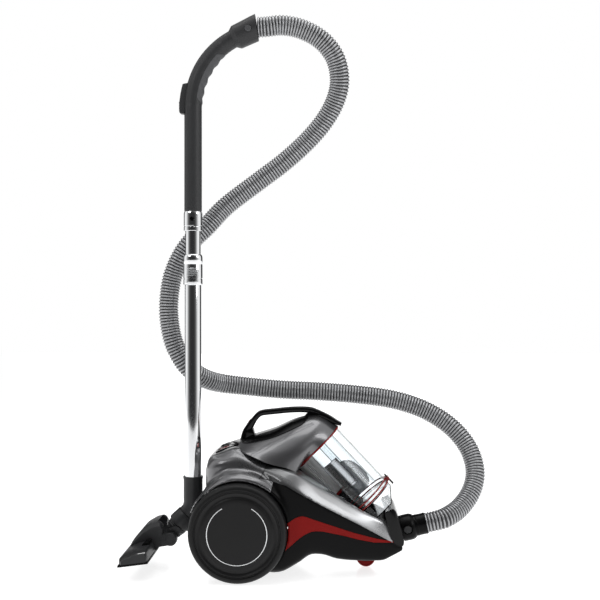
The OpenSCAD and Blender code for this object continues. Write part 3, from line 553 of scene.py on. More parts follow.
# ---------------------------------------------------------------- body outline
half_width = line_value([(-142, 62), (-136, 80), (-122, 93), (-104, 98), (-60, 100), (-26, 102), (-10, 112),
                         (16, 126), (40, 128), (70, 124), (120, 110), (170, 94), (215, 79), (256, 63)])
top_line = line_value([(-142, 206), (-140, 219), (-134, 229), (-118, 236.5), (-78, 249.5), (-50, 236),
                       (-20, 220.5), (33, 206.6), (96, 170), (162, 130), (207, 108), (214, 104.5),
                       (221, 100.5), (230, 78), (238, 60), (256, 56)])
floor_line = line_value([(-142, 82), (-128, 40), (-105, 16), (-60, 8), (-12, 6), (8, 10), (45, 31),
                         (71, 47), (88, 46), (119, 35.5), (162, 30), (205, 28), (228, 37), (256, 51)])
crease_line = line_value([(-142, 204), (-110, 219), (-60, 220), (-29, 209), (20, 187), (91, 144), (162, 104),
                          (215, 72), (237, 59), (256, 55.5)])
shoulder_depth = line_value([(-142, 20), (-110, 28), (-70, 26), (-26, 20), (20, 21), (90, 20), (170, 15),
                             (215, 10), (256, 2)])
BODY_STATIONS = sorted(set([-142, -141, -139, -136.5, -133, -128, -122, -115, -108, -100,
                            -90] + list(range(-80, 256, 8))
                           + [214, 237, 256]))


def body_ring(x, inset=0.0):
    """The body's outline at x: floor, rounded bilge, side, crease, shoulder and top."""
    half = half_width(x) - inset
    low, high, crease = floor_line(x) + inset, top_line(x) - inset, crease_line(x)
    crease = min(max(crease, low + 2), high - 1)
    side = crease - low
    inner = half - shoulder_depth(x)
    lower = smooth_line([(0, low, 0), (half * 0.6, low, 0), (half * 0.86, low + side * 0.03, 0),
                         (half * 0.96, low + side * 0.12, 0), (half * 0.99, low + side * 0.32, 0),
                         (half, low + side * 0.66, 0), (half * 0.992, crease, 0)], 4)
    upper = smooth_line([(half * 0.992, crease, 0), (half * 0.93, crease + (high - crease) * 0.45, 0),
                         (inner, high - 0.5, 0)], 5)[1:]
    crown = smooth_line([(inner, high - 0.5, 0), (inner * 0.6, high + 1.2, 0), (0, high + 1.6, 0)], 3)[1:]
    profile = [(p.x, p.y) for p in lower + upper + crown]
    ring = [Vector((x, y, z)) for y, z in profile]
    return ring + [Vector((x, -y, z)) for y, z in reversed(profile[1:-1])]


def body_block(inset):
    """The body's plain form without its fenders, smaller by the inset."""
    stations = [-142 + inset] + [x for x in BODY_STATIONS if -141.5 + inset < x <= 250 - 4 * inset]
    return solid(loft([body_ring(x, inset) for x in stations]), "body_block")


def fender(side):
    """The arch over a wheel: a thin guard behind it that swells into the body above and ahead of it."""
    profile = [(97.2, 96), (97.2, 127), (98.2, 129.5), (100.5, 130), (104, 127.5), (108.5, 121), (112, 113),
               (115.5, 104), (118.5, 96), (121, 88), (121, 80), (110, 80)]
    inner, guard, start, turn, steps = 97.2, 0.19, -164, 176, 64
    swell_start, swell_turn = -138, 42
    rings = []
    for k in range(steps + 1):
        angle = start + turn * k / steps
        swell = min(1.0, max(0.0, (angle - swell_start) / swell_turn))
        reach = guard + (1 - guard) * swell * swell * (3 - 2 * swell)
        a = math.radians(angle)
        out = Vector((math.cos(a), 0, -math.sin(a)))
        rings.append([Vector((WHEEL_X, w, WHEEL_Z)) + out * (inner + (r - inner) * reach)
                      for r, w in profile])
    shape = loft(rings)
    return solid(shape if side > 0 else mirrored(shape), "fender")


GREY_REGION = [(-200, 128), (-158, 128), (-120, 150), (-14, 150), (-9, 172), (-4, 191.5), (24, 183.5),
               (33, 178.5), (33, 330), (-200, 330)]
PANEL_REGION = [(-31, 197.6), (-27, 203), (33, 330), (213, 330), (219.5, 102), (228, 64.5), (162, 104),
                (91, 144), (20, 185)]
ACCENT_REGION = [(10, 103), (18, 110.5), (37, 123), (45, 126.5), (52, 127.5), (60, 125.5), (91, 113.5),
                 (148, 91.3), (190, 77.5), (236, 65.4), (236, 64.4), (190, 68.2), (160, 76), (133, 84.8),
                 (91, 96), (78, 97.3), (68, 96.2), (57, 91.5), (46, 84), (21, 61.5), (10, 52)]


def region(points, grow=0.0):
    """A region of the side view, drawn through the body and grown by a gap."""
    p = [Vector((a, b, 0)) for a, b in points]
    if grow:
        n = len(p)
        shifted = []
        area = sum(p[i].x * p[(i + 1) % n].y - p[(i + 1) % n].x * p[i].y for i in range(n))
        turn = 1 if area > 0 else -1
        for i in range(n):
            u, v = (p[i] - p[i - 1]).normalized(), (p[(i + 1) % n] - p[i]).normalized()
            a, b = Vector((u.y, -u.x, 0)) * turn, Vector((v.y, -v.x, 0)) * turn
            m = (a + b).normalized()
            shifted.append(p[i] + m * grow / max(0.5, m.dot(a)))
        p = shifted
    return solid(prism(p, -170, 170), "region")


def wheel_wells(radius=97.0, start=104.0):
    """The room for both wheels, out from start along Y."""
    shapes = [lathe([(0, s * start), (radius, s * start), (radius, s * 190), (0, s * 190)], 96,
                    (WHEEL_X, 0, WHEEL_Z), (0, 1, 0)) for s in (1, -1)]
    return solid(joined(*shapes), "wells")


def cup_bay(radius, out):
    """The scoop that the dust cup drops into."""
    n = 48
    ring = [CUP + (CUP_UP * math.cos(a) + SIDE * math.sin(a)) * radius for a in
            [math.pi / 2 + math.pi * k / n for k in range(n + 1)]]
    ring += [CUP + SIDE * -radius + CUP_UP * 260, CUP + SIDE * radius + CUP_UP * 260]
    tube = solid(loft([[p + CUP_DOWN * s for p in ring] for s in (-60, 240)]), "bay")
    limit = solid(prism([(-2 - out, 420), (229 + out, 420), (229 + out, 135), (151 + out, 65 - out),
                         (-2 - out, 65 - out)], -110, 110))
    return carved(tube, limit, "INTERSECT")


def blended(made, cell=3.2, rounds=5):
    """One even skin over joined forms, their junctions eased into fillets. Without a cell it only eases."""
    if cell:
        skin = made.modifiers.new("skin", "REMESH")
        skin.mode = "VOXEL"
        skin.voxel_size = cell * MM
    ease = made.modifiers.new("ease", "SMOOTH")
    ease.factor, ease.iterations = 0.5, rounds
    applied(made)
    return made


def body_skin():
    """The body's outer form with its fenders, wells and bay."""
    whole = body_block(0)
    for side in (1, -1):
        carved(whole, fender(side), "UNION")
    blended(whole)
    carved(whole, wheel_wells())
    carved(whole, cup_bay(BAY_R, BAY_GAP))
    carved(whole, solid(prism([(-124.5, 219.5), (-79, 219.5), (-79, 300), (-124.5, 300)], -46.5, 46.5)))
    return whole


class BodySettings(bpy.types.PropertyGroup):
    panel_depth: bpy.props.FloatProperty(name="Panel depth",
                                         description="Thickness of the outer panels, in millimetres",
                                         default=2.6, min=1, max=4)
    seam: bpy.props.FloatProperty(name="Seam",
                                  description="Gap between neighbouring panels, in millimetres",
                                  default=0.7, min=0.2, max=1.5)


class VACUUM_OT_body(bpy.types.Operator):
    """Build the body's mouldings: base, grey shell, silver panels and red accents"""
    bl_idname = "vacuum.body"
    bl_label = "Body mouldings"

    def execute(self, context):
        settings = context.scene.vacuum_body
        gap = settings.seam / 2
        skin = body_skin()
        shell = carved(copied(skin), blended(body_block(settings.panel_depth), 0, 3))
        grey = carved(copied(shell), region(GREY_REGION, -gap), "INTERSECT")
        carved(grey, region(PANEL_REGION, gap))
        piece(grey, "rear_shell", "canister", FINISH["grey"], ("upper_shell",))
        panels = carved(copied(shell), region(PANEL_REGION, -gap), "INTERSECT")
        carved(panels, solid(prism([(-60, 0), (400, 0), (400, 300), (-60, 300)], -50, 50)))
        piece(panels, "silver_panels", "canister", FINISH["silver"], ("side_panels",))
        accents = carved(copied(shell), region(ACCENT_REGION, -gap), "INTERSECT")
        piece(accents, "accent_stripes", "canister", FINISH["red"], ("accent_strips",))
        base = carved(skin, blended(body_block(settings.panel_depth + 0.4), 0, 3))
        for outline in (GREY_REGION, PANEL_REGION, ACCENT_REGION):
            carved(base, region(outline, gap))
        core = blended(body_block(settings.panel_depth + 0.1), 0, 3)
        carved(core, blended(body_block(settings.panel_depth + 2.6), 0, 3))
        carved(core, cup_bay(BAY_R + 0.3, BAY_GAP + 0.3))
        carved(core, wheel_wells(97.3, 103.7))
        carved(base, core, "UNION")
        carved(base, solid(lathe([(0, 10), (30, 10), (30, 43), (0, 43)], 64, (185, 0, 0))))
        carved(base, solid(lathe([(0, -34), (23, -34), (23, 30), (0, 30)], 48, PORT, PORT_OUT)))
        carved(base, solid(prism([(-160, 90), (-136, 90), (-136, 134), (-160, 134)], -69, -19)))
        piece(base, "base_moulding", "canister", FINISH["black"], ("base_shell",))
        bpy.data.objects.remove(shell)
        return {"FINISHED"}


# ---------------------------------------------------------------- cowl and cover
def cowl_grid(nu, nv):
    """The dome over the cup, from the rear seam to the top ring, in rows from the top to the side."""
    def ring_point(angle, back=1.4, radius=RING_R):
        a = math.radians(angle)
        return CUP - CUP_DOWN * back + CUP_UP * (radius * math.cos(a)) + SIDE * (radius * math.sin(a))
    rows = [
        [(-78, 0, 256), (-78, 22, 255.5), (-78, 44, 253), (-77.5, 60, 249.8), (-77, 74, 246.5)],
        [(-44, 0, 267.5), (-44, 26, 266), (-43, 52, 259), (-42, 78, 246), (-46, 94, 235.5)],
        [(-6, 0, 280), (-6, 30, 277.5), (-5, 60, 265), (-6, 84, 245), (-14, 98, 222.5)],
        [(36, 0, 299), (37, 32, 294.5), (40, 62, 276), (37, 83, 248), (20, 93, 213)],
        [(80, 0, 306.5), (80, 31, 300.5), (73, 59, 277), (60, 75, 246), (40, 80, 204)],
        [ring_point(angle) for angle in (0, 33, 66, 99, 134)],
    ]
    half = patch(rows, nu, nv // 2)
    whole = []
    for row in half:
        other = [Vector((p.x, -p.y, p.z)) for p in reversed(row[1:])]
        whole.append(other + row)
    return whole


class VACUUM_OT_cowl(bpy.types.Operator):
    """Build the grey cowl over the cup and its glossy black cover"""
    bl_idname = "vacuum.cowl"
    bl_label = "Cowl and cover"

    def execute(self, context):
        cowl = solid(walled(cowl_grid(40, 48), 2.4))
        piece(cowl, "cowl", "cup", FINISH["grey"], ("cup_cowl",))
        cover = solid(walled(cowl_grid(60, 80), -0.3, 1.6), "cover")
        outline = smooth_loop([(-76, 0, 0), (-74, 36, 0), (-60, 52, 0), (-30, 55, 0), (0, 54, 0),
                               (30, 50, 0), (50, 42, 0), (59, 23, 0), (61, 0, 0), (59, -23, 0),
                               (50, -42, 0), (30, -50, 0), (0, -54, 0), (-30, -55, 0), (-60, -52, 0),
                               (-74, -36, 0)], 4)
        carved(cover, solid(plate(outline, 200, 400)), "INTERSECT")
        piece(cover, "cover", "cup", FINISH["gloss"], ("top_cover",))
        return {"FINISHED"}


# ---------------------------------------------------------------- dust cup
def cup_point(aside, across, down):
    """A point of the cup's own frame: aside is toward its upper side, down along its axis."""
    return CUP + CUP_UP * aside + SIDE * across + CUP_DOWN * down


def cup_lathe(profile, segments=96, aside=0.0, loop=False):
    return lathe(profile, segments, CUP + CUP_UP * aside, CUP_DOWN, loop)


def cup_prism(outline, half):
    """An outline of (aside, down) points drawn out to both sides of the cup's middle plane."""
    return solid(loft([[cup_point(p[0], y, p[1]) for p in outline] for y in (-half, half)]))


def lid_block(radius, inset):
    """The lid's form: the cup's round, cut off by the body's slope."""
    tube = solid(cup_lathe([(0, 150.4 + inset), (radius, 150.4 + inset), (radius, 230), (0, 230)], 96))
    limit = solid(prism([(40, 320), (227 - inset, 320), (227 - inset, 137), (150 - inset, 68 + inset),
                         (40, 68 + inset)], -100, 100))
    return carved(tube, limit, "INTERSECT")


class VACUUM_OT_bin(bpy.types.Operator):
    """Build the clear bin, its rings, lid and latch"""
    bl_idname = "vacuum.bin"
    bl_label = "Clear bin and rings"

    def execute(self, context):
        wall = cup_lathe([(BIN_R, 1), (BIN_R, BIN_LEN - 0.4), (BIN_R - 2.5, BIN_LEN - 0.4),
                          (BIN_R - 2.5, 1)], 128, loop=True)
        piece(solid(wall), "clear_bin", "cup", FINISH["clear"], ("dust_bin",))
        top = cup_lathe([(BIN_R + 0.1, 1), (BIN_R + 0.1, 2.2), (RING_R - 0.2, 2.2), (RING_R + 0.3, 1.7),
                         (RING_R + 0.3, -0.5), (RING_R - 0.4, -0.9), (RING_R - 2.9, -1.1),
                         (RING_R - 2.9, -3.6), (55.5, -3.6), (55.5, -1), (58, 1)], 128, loop=True)
        piece(solid(top), "upper_ring", "cup", FINISH["ring_red"], ("top_ring",))
        bands = [cup_lathe([(BIN_R + 0.1, near), (RING_R - 0.4, near), (RING_R, near + 0.5),
                            (RING_R, far - 0.5), (RING_R - 0.4, far), (BIN_R + 0.1, far)], 128, loop=True)
                 for near, far in ((139.5, 142.2), (147.0, 149.8))]
        ring = solid(joined(*bands))
        boss = [(RING_R - 2.2, 141), (RING_R + 4.8, 142), (RING_R + 4.8, 149), (RING_R - 2.2, 149.7)]
        notch = [(RING_R - 1, 138), (RING_R + 8, 138), (RING_R + 8, 152), (RING_R - 1, 152)]
        carved(ring, cup_prism(boss, 9), "UNION")
        carved(ring, cup_prism(notch, 4.4))
        piece(ring, "lower_ring", "cup", FINISH["ring_red"], ("bottom_ring",))
        lid = lid_block(BIN_R, 0)
        carved(lid, lid_block(BIN_R - 2.5, 2.5))
        piece(lid, "clear_lid", "lid", FINISH["clear"], ("bottom_lid",))
        outline = rounded([(RING_R + 0.9, 136, 0), (RING_R + 3.8, 135, 0), (RING_R + 4.4, 150, 0),
                           (RING_R + 4.4, 161.5, 0), (RING_R + 0.9, 161.5, 0), (RING_R + 0.9, 152, 0)], 1.2)
        piece(softened(cup_prism(outline, 3.9), 0.5), "latch", "latch", FINISH["charcoal"],
              ("lid_latch",))
        return {"FINISHED"}


# ---------------------------------------------------------------- inside the cup
def scatter_tree(name, build):
    """A Geometry Nodes tree with a shape in and a shape out, filled by build(tree, inlet, outlet)."""
    tree = bpy.data.node_groups.new(name, "GeometryNodeTree")
    tree.interface.new_socket("Shape", in_out="INPUT", socket_type="NodeSocketGeometry")
    tree.interface.new_socket("Shape", in_out="OUTPUT", socket_type="NodeSocketGeometry")
    inlet, outlet = tree.nodes.new("NodeGroupInput"), tree.nodes.new("NodeGroupOutput")
    build(tree, inlet, outlet)
    return tree


def tree_input(tree, name, kind, value):
    socket = tree.interface.new_socket(name, in_out="INPUT", socket_type=kind)
    socket.default_value = value
    return socket


def row_of(shape, name, count, step, material, start=(0, 0, 0)):
    """count copies of a shape, each a step on from the last, made by Geometry Nodes."""
    def build(tree, inlet, outlet):
        tree_input(tree, "Count", "NodeSocketInt", count)
        tree_input(tree, "Step", "NodeSocketVector", tuple(s * MM for s in step))
        given = inlet.outputs
        points = add(tree, "GeometryNodePoints", {"Count": given["Count"]}).outputs["Points"]
        index = add(tree, "GeometryNodeInputIndex").outputs["Index"]
        shift = add(tree, "ShaderNodeVectorMath", {0: given["Step"], "Scale": index}, operation="SCALE")
        copies = add(tree, "GeometryNodeInstanceOnPoints", {"Points": points, "Instance": given["Shape"]})
        row = {"Instances": copies.outputs["Instances"], "Translation": shift.outputs["Vector"],
               "Local Space": False}
        move = add(tree, "GeometryNodeTranslateInstances", row)
        real = add(tree, "GeometryNodeRealizeInstances", {"Geometry": move.outputs["Instances"]})
        painted = {"Geometry": real.outputs["Geometry"], "Material": material}
        paint = add(tree, "GeometryNodeSetMaterial", painted)
        tree.links.new(paint.outputs["Geometry"], outlet.inputs["Shape"])
    made = solid(shape, name)
    modifier = made.modifiers.new("row", "NODES")
    modifier.node_group = scatter_tree(name + " row", build)
    applied(made)
    made.data.transform(Matrix.Translation(Vector(start) * MM))
    return made


def block(u0, u1, v0, v1, w0, w1, frame_axes):
    """A box between distances along three axes from a point."""
    origin, a, b, c = frame_axes
    corners = [[origin + a * u + b * v + c * w for u, v in ((u0, v0), (u1, v0), (u1, v1), (u0, v1))]
               for w in (w0, w1)]
    return loft(corners)


def joined_objects(*made):
    """Several objects' meshes as one plain object."""
    work = bmesh.new()
    for one in made:
        work.from_mesh(one.data)
    mesh = bpy.data.meshes.new(made[0].name)
    work.to_mesh(mesh)
    work.free()
    for one in made[1:]:
        bpy.data.objects.remove(one)
    made[0].data = mesh
    return made[0]


class VACUUM_OT_cyclone(bpy.types.Operator):
    """Build the cyclone body and the pleated filter inside the bin"""
    bl_idname = "vacuum.cyclone"
    bl_label = "Cyclone and filter"

    def execute(self, context):
        barrel = cup_lathe([(8, 126), (17, 128.4), (22, 125), (26, 118), (27.4, 108), (27.4, 88),
                            (25.6, 76), (21, 66), (14, 60), (8.4, 57.5), (8, 58)],
                           72, BARREL_ASIDE, loop=True)
        disc = cup_lathe([(54.6, -3.4), (54.6, 3.4), (46, 4.4), (9, 4.4), (9, -3.4)], 96, loop=True)
        piece(solid(disc), "cup_plate", "cup", FINISH["charcoal"])
        stem = solid(cup_lathe([(8, 4), (8, 60), (6.6, 60), (6.6, 4)], 40, BARREL_ASIDE, loop=True))
        piece(stem, "flow_pipe", "cup", FINISH["clear"])
        made = solid(barrel)
        centre = CUP + CUP_UP * BARREL_ASIDE
        slats = []
        for k in range(14):
            a = math.radians(360 * k / 14)
            d, e = CUP_UP * math.cos(a) + SIDE * math.sin(a), SIDE * math.cos(a) - CUP_UP * math.sin(a)
            slats.append(block(26.6, 28.3, -0.9, 0.9, 90, 112, (centre, d, e, CUP_DOWN)))
        made = joined_objects(made, solid(joined(*slats)))
        piece(made, "cyclone", "cup", FINISH["pale"], ("cyclone_body",))
        pleats = 30
        profile = []
        for k in range(pleats * 2):
            a, r = math.pi * k / pleats, 16.8 if k % 2 else 13.8
            profile.append((r * math.cos(a), r * math.sin(a)))
        core = [[cup_point(FILTER_ASIDE + u, v, s) for u, v in profile] for s in (8.4, 60, 95.8)]
        cartridge = solid(loft(core))
        rims = solid(joined(cup_lathe([(0, 4.6), (19.2, 4.6), (20, 5.4), (20, 7.6), (19.2, 8.4), (0, 8.4)],
                                      56, FILTER_ASIDE),
                            cup_lathe([(0, 95.8), (19, 95.8), (20, 96.8), (20, 100), (19, 101), (0, 101)],
                                      56, FILTER_ASIDE)))
        piece(cartridge, "pleated_cartridge", "cup", FINISH["pleat"], ("pleated_filter",),
              math.radians(20))
        piece(rims, "filter_rims", "cup", FINISH["ring_red"])
        badge = solid(lathe([(31.2, 40), (32.6, 41), (32.6, 45), (32.0, 45.6), (32.0, 99.4), (32.6, 100),
                             (32.6, 104), (31.2, 105)], 24,
                            centre, CUP_DOWN, True, -14, 66))
        piece(badge, "sleeve_plate", "cup", FINISH["collar"])
        sleeve = solid(cup_lathe([(31, 5), (31, 132), (29.6, 132), (29.6, 5)], 72, BARREL_ASIDE, loop=True))
        piece(sleeve, "inner_sleeve", "cup", FINISH["clear"])
        return {"FINISHED"}


# ---------------------------------------------------------------- carry handle
class VACUUM_OT_carry_handle(bpy.types.Operator):
    """Build the arched carry handle and its release button"""
    bl_idname = "vacuum.carry_handle"
    bl_label = "Carry handle"

    def execute(self, context):
        spine = smooth_line([(-73, 0, 252), (-66, 0, 271), (-54, 0, 292), (-43, 0, 306), (-34, 0, 311),
                             (-14, 0, 313.6), (28, 0, 317.6), (60, 0, 317.4), (76, 0, 313), (98, 0, 303),
                             (116, 0, 293), (127, 0, 288.5)], 5)

        def girth(f):
            wide = 1.0 + 0.45 * max(0, 1 - f / 0.10) ** 1.5 + 0.2 * max(0, (f - 0.78) / 0.22)
            tall = 1.0 + 0.55 * max(0, 1 - abs(f - 0.1) / 0.12) - 0.45 * max(0, (f - 0.86) / 0.14)
            return wide, tall
        section = rounded([(-11.5, -5.6, 0), (11.5, -5.6, 0), (11.5, 5.6, 0), (-11.5, 5.6, 0)], 4.4, 4)
        grip = solid(sweep(spine, [(p.x, p.y) for p in section], girth))
        foot = rounded([(-77, 253, 0), (-66, 277, 0), (-52, 279, 0), (-49, 268, 0), (-50, 261, 0)], 3)
        foot = softened(solid(prism(foot, -15, 15)), 2.2)
        carved(grip, foot, "UNION")
        front = rounded([(52, 305, 0), (62, 316, 0), (90, 309, 0), (127, 290, 0), (126, 286.6, 0),
                         (104, 296, 0), (78, 305, 0)], 2.5)
        front = softened(solid(prism(front, -12.5, 12.5)), 1.6)
        carved(grip, front, "UNION")
        piece(grip, "carry_grip", "cup", FINISH["gloss"], ("carry_handle",), math.radians(45))
        button = rounded([(-68, 284, 0), (-59.5, 297.5, 0), (-55, 295, 0), (-62, 281, 0)], 1.4)
        button = softened(solid(prism(button, -6.2, 6.2)), 1.0)
        piece(button, "release_button", "cup_release", FINISH["ring_red"], ("cup_button",))
        return {"FINISHED"}


# ---------------------------------------------------------------- wheels
class WheelSettings(bpy.types.PropertyGroup):
    radius: bpy.props.FloatProperty(name="Radius",
                                    description="Outer radius of a main wheel, in millimetres", default=95,
                                    min=60, max=120)
    inlay_radius: bpy.props.FloatProperty(name="Inlay radius",
                                          description="Radius of the bright inlay ring, in millimetres",
                                          default=57.5, min=20, max=70)
    inlay_gap: bpy.props.FloatProperty(name="Inlay gap",
                                       description="Opening at the top of the inlay ring, in degrees",
                                       default=58, min=0, max=180)


class VACUUM_OT_wheels(bpy.types.Operator):
    """Build both main wheels: tyre, hub, hubcap and inlay ring"""
    bl_idname = "vacuum.wheels"
    bl_label = "Main wheels"

    def execute(self, context):
        settings = context.scene.vacuum_wheel
        r = settings.radius
        for side, label in ((1, "left"), (-1, "right")):
            body = "wheel_" + label
            at, out = (WHEEL_X, side * WHEEL_Y, WHEEL_Z), (0, side, 0)
            tyre = [(r - 11.5, 3), (r - 9, 0.8), (r - 5, 0.2), (r - 2, 1.5), (r - 0.4, 4.2), (r, 7),
                    (r, 14), (r - 0.7, 14.6), (r - 0.7, 15.4), (r, 16), (r, 27), (r - 0.3, 32),
                    (r - 1.4, 36), (r - 3.6, 39.4), (r - 7, 41.3), (r - 10.4, 41.8), (r - 11.5, 41.4)]
            piece(solid(lathe(tyre, 160, at, out, True)), "tyre_" + label, body, FINISH["tyre"],
                  ("wheel_tyre_" + label,))
            hub = [(6.1, 1), (13, 1), (13.6, 13), (r - 14, 13.6), (r - 14, 2), (r - 11.6, 2),
                   (r - 11.6, 36), (r - 15, 36), (r - 15, 17), (13, 17.5), (13, 25), (6.1, 25)]
            made = solid(lathe(hub, 96, at, out, True))
            spokes = []
            for k in range(8):
                a = math.radians(45 * k)
                d, e = Vector((math.cos(a), 0, math.sin(a))), Vector((-math.sin(a), 0, math.cos(a)))
                spokes.append(block(14, r - 15, -1.4, 1.4, 5, 14, (Vector(at), d, e, Vector(out))))
            made = joined_objects(made, solid(joined(*spokes)))
            piece(made, "hub_" + label, body, FINISH["black"], ("wheel_hub_" + label,))
            cap = [(0, 37), (r - 11.7, 37), (r - 11.7, 40.6), (r - 12.6, 41.3), (r - 13.6, 41.2),
                   (r - 13.9, 39.9), (r - 14.5, 39.9), (r - 14.9, 41.2), (r - 16.4, 41.2), (r - 18, 40.2),
                   (r - 20.5, 38.9), (r - 23, 38.7), (r - 25.2, 39.7), (r - 26.6, 40.9), (r - 28.5, 41.4),
                   (r - 36, 41.5), (30, 41.7), (12, 41.8), (0, 41.8)]
            piece(solid(lathe(cap, 160, at, out)), "cap_" + label, body, FINISH["cap"],
                  ("hubcap_" + label,))
            ir, gap = settings.inlay_radius, settings.inlay_gap
            ring = lathe([(ir - 0.75, 41.3), (ir + 0.75, 41.3), (ir + 0.75, 41.8), (ir + 0.4, 41.98),
                          (ir - 0.4, 41.98), (ir - 0.75, 41.8)], 120, at, out, True,
                         0, 360 - gap)
            mid = math.radians((360 - gap) / 2)
            u = Vector((1, 0, 0))
            middle = u * math.cos(mid) + Vector(out).cross(u) * math.sin(mid)
            spin = -math.pi / 2 - math.atan2(middle.z, middle.x)
            centre = Matrix.Translation(Vector(at))
            turn = centre @ Matrix.Rotation(-spin, 4, "Y") @ centre.inverted()
            piece(solid(moved(ring, turn)), "inlay_" + label, body, FINISH["inlay"])
        return {"FINISHED"}


class VACUUM_OT_castor(bpy.types.Operator):
    """Build the front castor's red wheel and its fork"""
    bl_idname = "vacuum.castor"
    bl_label = "Castor"

    def execute(self, context):
        at = (177, 0, 19)
        wheel = [(3.2, -9), (12, -9), (12.6, -8), (15, -8), (15.6, -9), (17.2, -8.6), (18.6, -7), (19, -5),
                 (19, 5), (18.6, 7), (17.2, 8.6), (15.6, 9), (15, 8), (12.6, 8), (12, 9), (3.2, 9)]
        piece(solid(lathe(wheel, 72, at, (0, 1, 0), True)), "castor_roller", "castor_roller", FINISH["red"],
              ("castor_wheel",))
        piece(from_cad("castor_fork", 0.6), "castor_bracket", "castor", FINISH["black"],
              ("castor_fork",))
        return {"FINISHED"}


# ---------------------------------------------------------------- inlet and coupling
def oval(length, height, size, depth):
    """An oval round the coupling's button, at a depth from the middle toward the near side."""
    return [PORT + PORT_OUT * (15.2 + length * a * size) + PORT_UP * (height * b * size) - SIDE * depth
            for a, b in circle(1, 40)]


class VACUUM_OT_inlet(bpy.types.Operator):
    """Build the inlet bezel, the hose coupling and its button"""
    bl_idname = "vacuum.inlet"
    bl_label = "Inlet and coupling"

    def execute(self, context):
        outline = rounded([(219.8, 104, 0), (214, 124.5, 0), (231, 131, 0), (238.4, 122, 0), (253.5, 66, 0),
                           (252.5, 55.5, 0), (230, 60, 0)],
                          [2, 5, 5, 6, 6, 4, 2])

        def bezel_width(x):
            return half_width(min(x, 252)) - 1.5
        rows = []
        for k in range(15):
            f = -1 + 2 * k / 14
            rows.append([Vector((p.x - 3 * abs(f) ** 3.2, f * bezel_width(p.x), p.y)) for p in outline])
        bezel = solid(loft(rows))
        carved(bezel, cup_bay(BAY_R, BAY_GAP))
        carved(bezel, solid(lathe([(0, -60), (23, -60), (23, 30), (0, 30)], 64, PORT, PORT_OUT)))
        piece(softened(bezel, 1.0), "inlet_frame", "canister", FINISH["gloss"],
              ("inlet_bezel",))
        collar = [(17, -14), (20, -14), (20, 3.9), (25.4, 3.9), (26, 4.6), (26.3, 10), (26.3, 22),
                  (25.4, 26), (23.4, 29.5), (21.6, 31), (21.3, 34), (21.6, 34.6), (21.6, 37), (21.2, 37.5),
                  (21.2, 50.5), (21.6, 51), (21.6, 54.2), (21.1, 54.6), (17, 54.6)]
        coupling = solid(lathe(collar, 72, PORT, PORT_OUT, True))
        carved(coupling,
               solid(loft([oval(9.6, 9.2, size, depth) for depth, size in ((18.5, 1.0), (40, 1.12))])))
        lug = [oval(8.2, 7.8, size, depth) for depth, size in ((20.8, 1.0), (23.6, 1.0), (24.2, 0.9))]
        piece(coupling, "coupling", "coupling", FINISH["black"], ("hose_coupling",))
        piece(solid(loft(lug)), "coupling_catch", "coupling_release", FINISH["charcoal"],
              ("coupling_button",))
        return {"FINISHED"}


# ---------------------------------------------------------------- wand
def upright(profile, loop=True):
    """A profile turned about the wand's axis."""
    return lathe(profile, 72, (WAND_X, 0, 0), (0, 0, 1), loop)


def catch_hole():
    """The hole that the wand's catch shows through."""
    return solid(lathe([(0, 8), (4.9, 8), (4.9, 40), (0, 40)], 32, (WAND_X, 0, CATCH_Z), (0, -1, 0)))


class VACUUM_OT_wand(bpy.types.Operator):
    """Build the two chromed tubes and the sliding lock collar"""
    bl_idname = "vacuum.wand"
    bl_label = "Wand tubes"

    def execute(self, context):
        lower = upright([(17, 136), (17, 605.2), (16.8, 605.8), (16.3, 606), (16.1, 605.6), (16.1, 136)])
        piece(solid(lower), "wand_lower_tube", "wand_lower", FINISH["chrome"], ("lower_tube",))
        upper = solid(upright([(15.75, 190), (15.75, 711.6), (14.85, 711.6), (14.85, 190)]))
        carved(upper, catch_hole())
        piece(upper, "wand_upper_tube", "wand_upper", FINISH["chrome"], ("upper_tube",))
        collar = upright([(17.08, 572.2), (18.6, 571.9), (19.6, 572.6), (19.8, 574), (19.8, 583),
                          (19.2, 583.6), (19.2, 585), (19.8, 585.6), (19.8, 612), (19.4, 613),
                          (19.4, 614.4), (19.8, 615.2), (19.8, 627), (19.4, 630), (18.2, 633), (17, 634),
                          (16.2, 634), (16.2, 627), (17.08, 626)])
        collar = solid(collar)
        ribs = []
        for k in range(5):
            z = 590 + k * 3.6
            ribs.append(lathe([(19.6, z), (20.25, z + 0.5), (20.25, z + 1.3), (19.6, z + 1.8)], 24,
                              (WAND_X, 0, 0), (0, 0, 1), True, -42, 84))
        collar = joined_objects(collar, solid(joined(*ribs)))
        piece(collar, "slide_collar", "collar", FINISH["chrome"], ("lock_collar",))
        return {"FINISHED"}


def grip_spine():
    """The handle's centre line from the sleeve to the hose end, in the XZ plane."""
    line = [Vector((WAND_X, 0, z)) for z in (720, 760, 800, 850, 900)]
    for k in range(14):
        a = BEND_TURN * k / 13
        line.append(Vector((WAND_X + BEND_R * (1 - math.cos(a)), 0, BEND_START + BEND_R * math.sin(a))))
    last = line[-1]
    line += [last + BEND_WAY * s for s in (8, 16, 28, 42, 60)]
    return smooth_line(line, 5)


def even_path(line, count):
    """count points at even distances along a line, and the line's length."""
    lengths = [0.0]
    for a, b in zip(line, line[1:]):
        lengths.append(lengths[-1] + (b - a).length)
    path, k = [], 0
    for i in range(count):
        s = lengths[-1] * i / (count - 1)
        while k < len(line) - 2 and lengths[k + 1] < s:
            k += 1
        path.append(line[k].lerp(line[k + 1], (s - lengths[k]) / (lengths[k + 1] - lengths[k])))
    return path, lengths[-1]


def bend_inward(path, i):
    """The direction to the inside of the handle's bend."""
    t = (path[min(i + 1, len(path) - 1)] - path[max(i - 1, 0)]).normalized()
    return Vector((t.z, 0, -t.x))


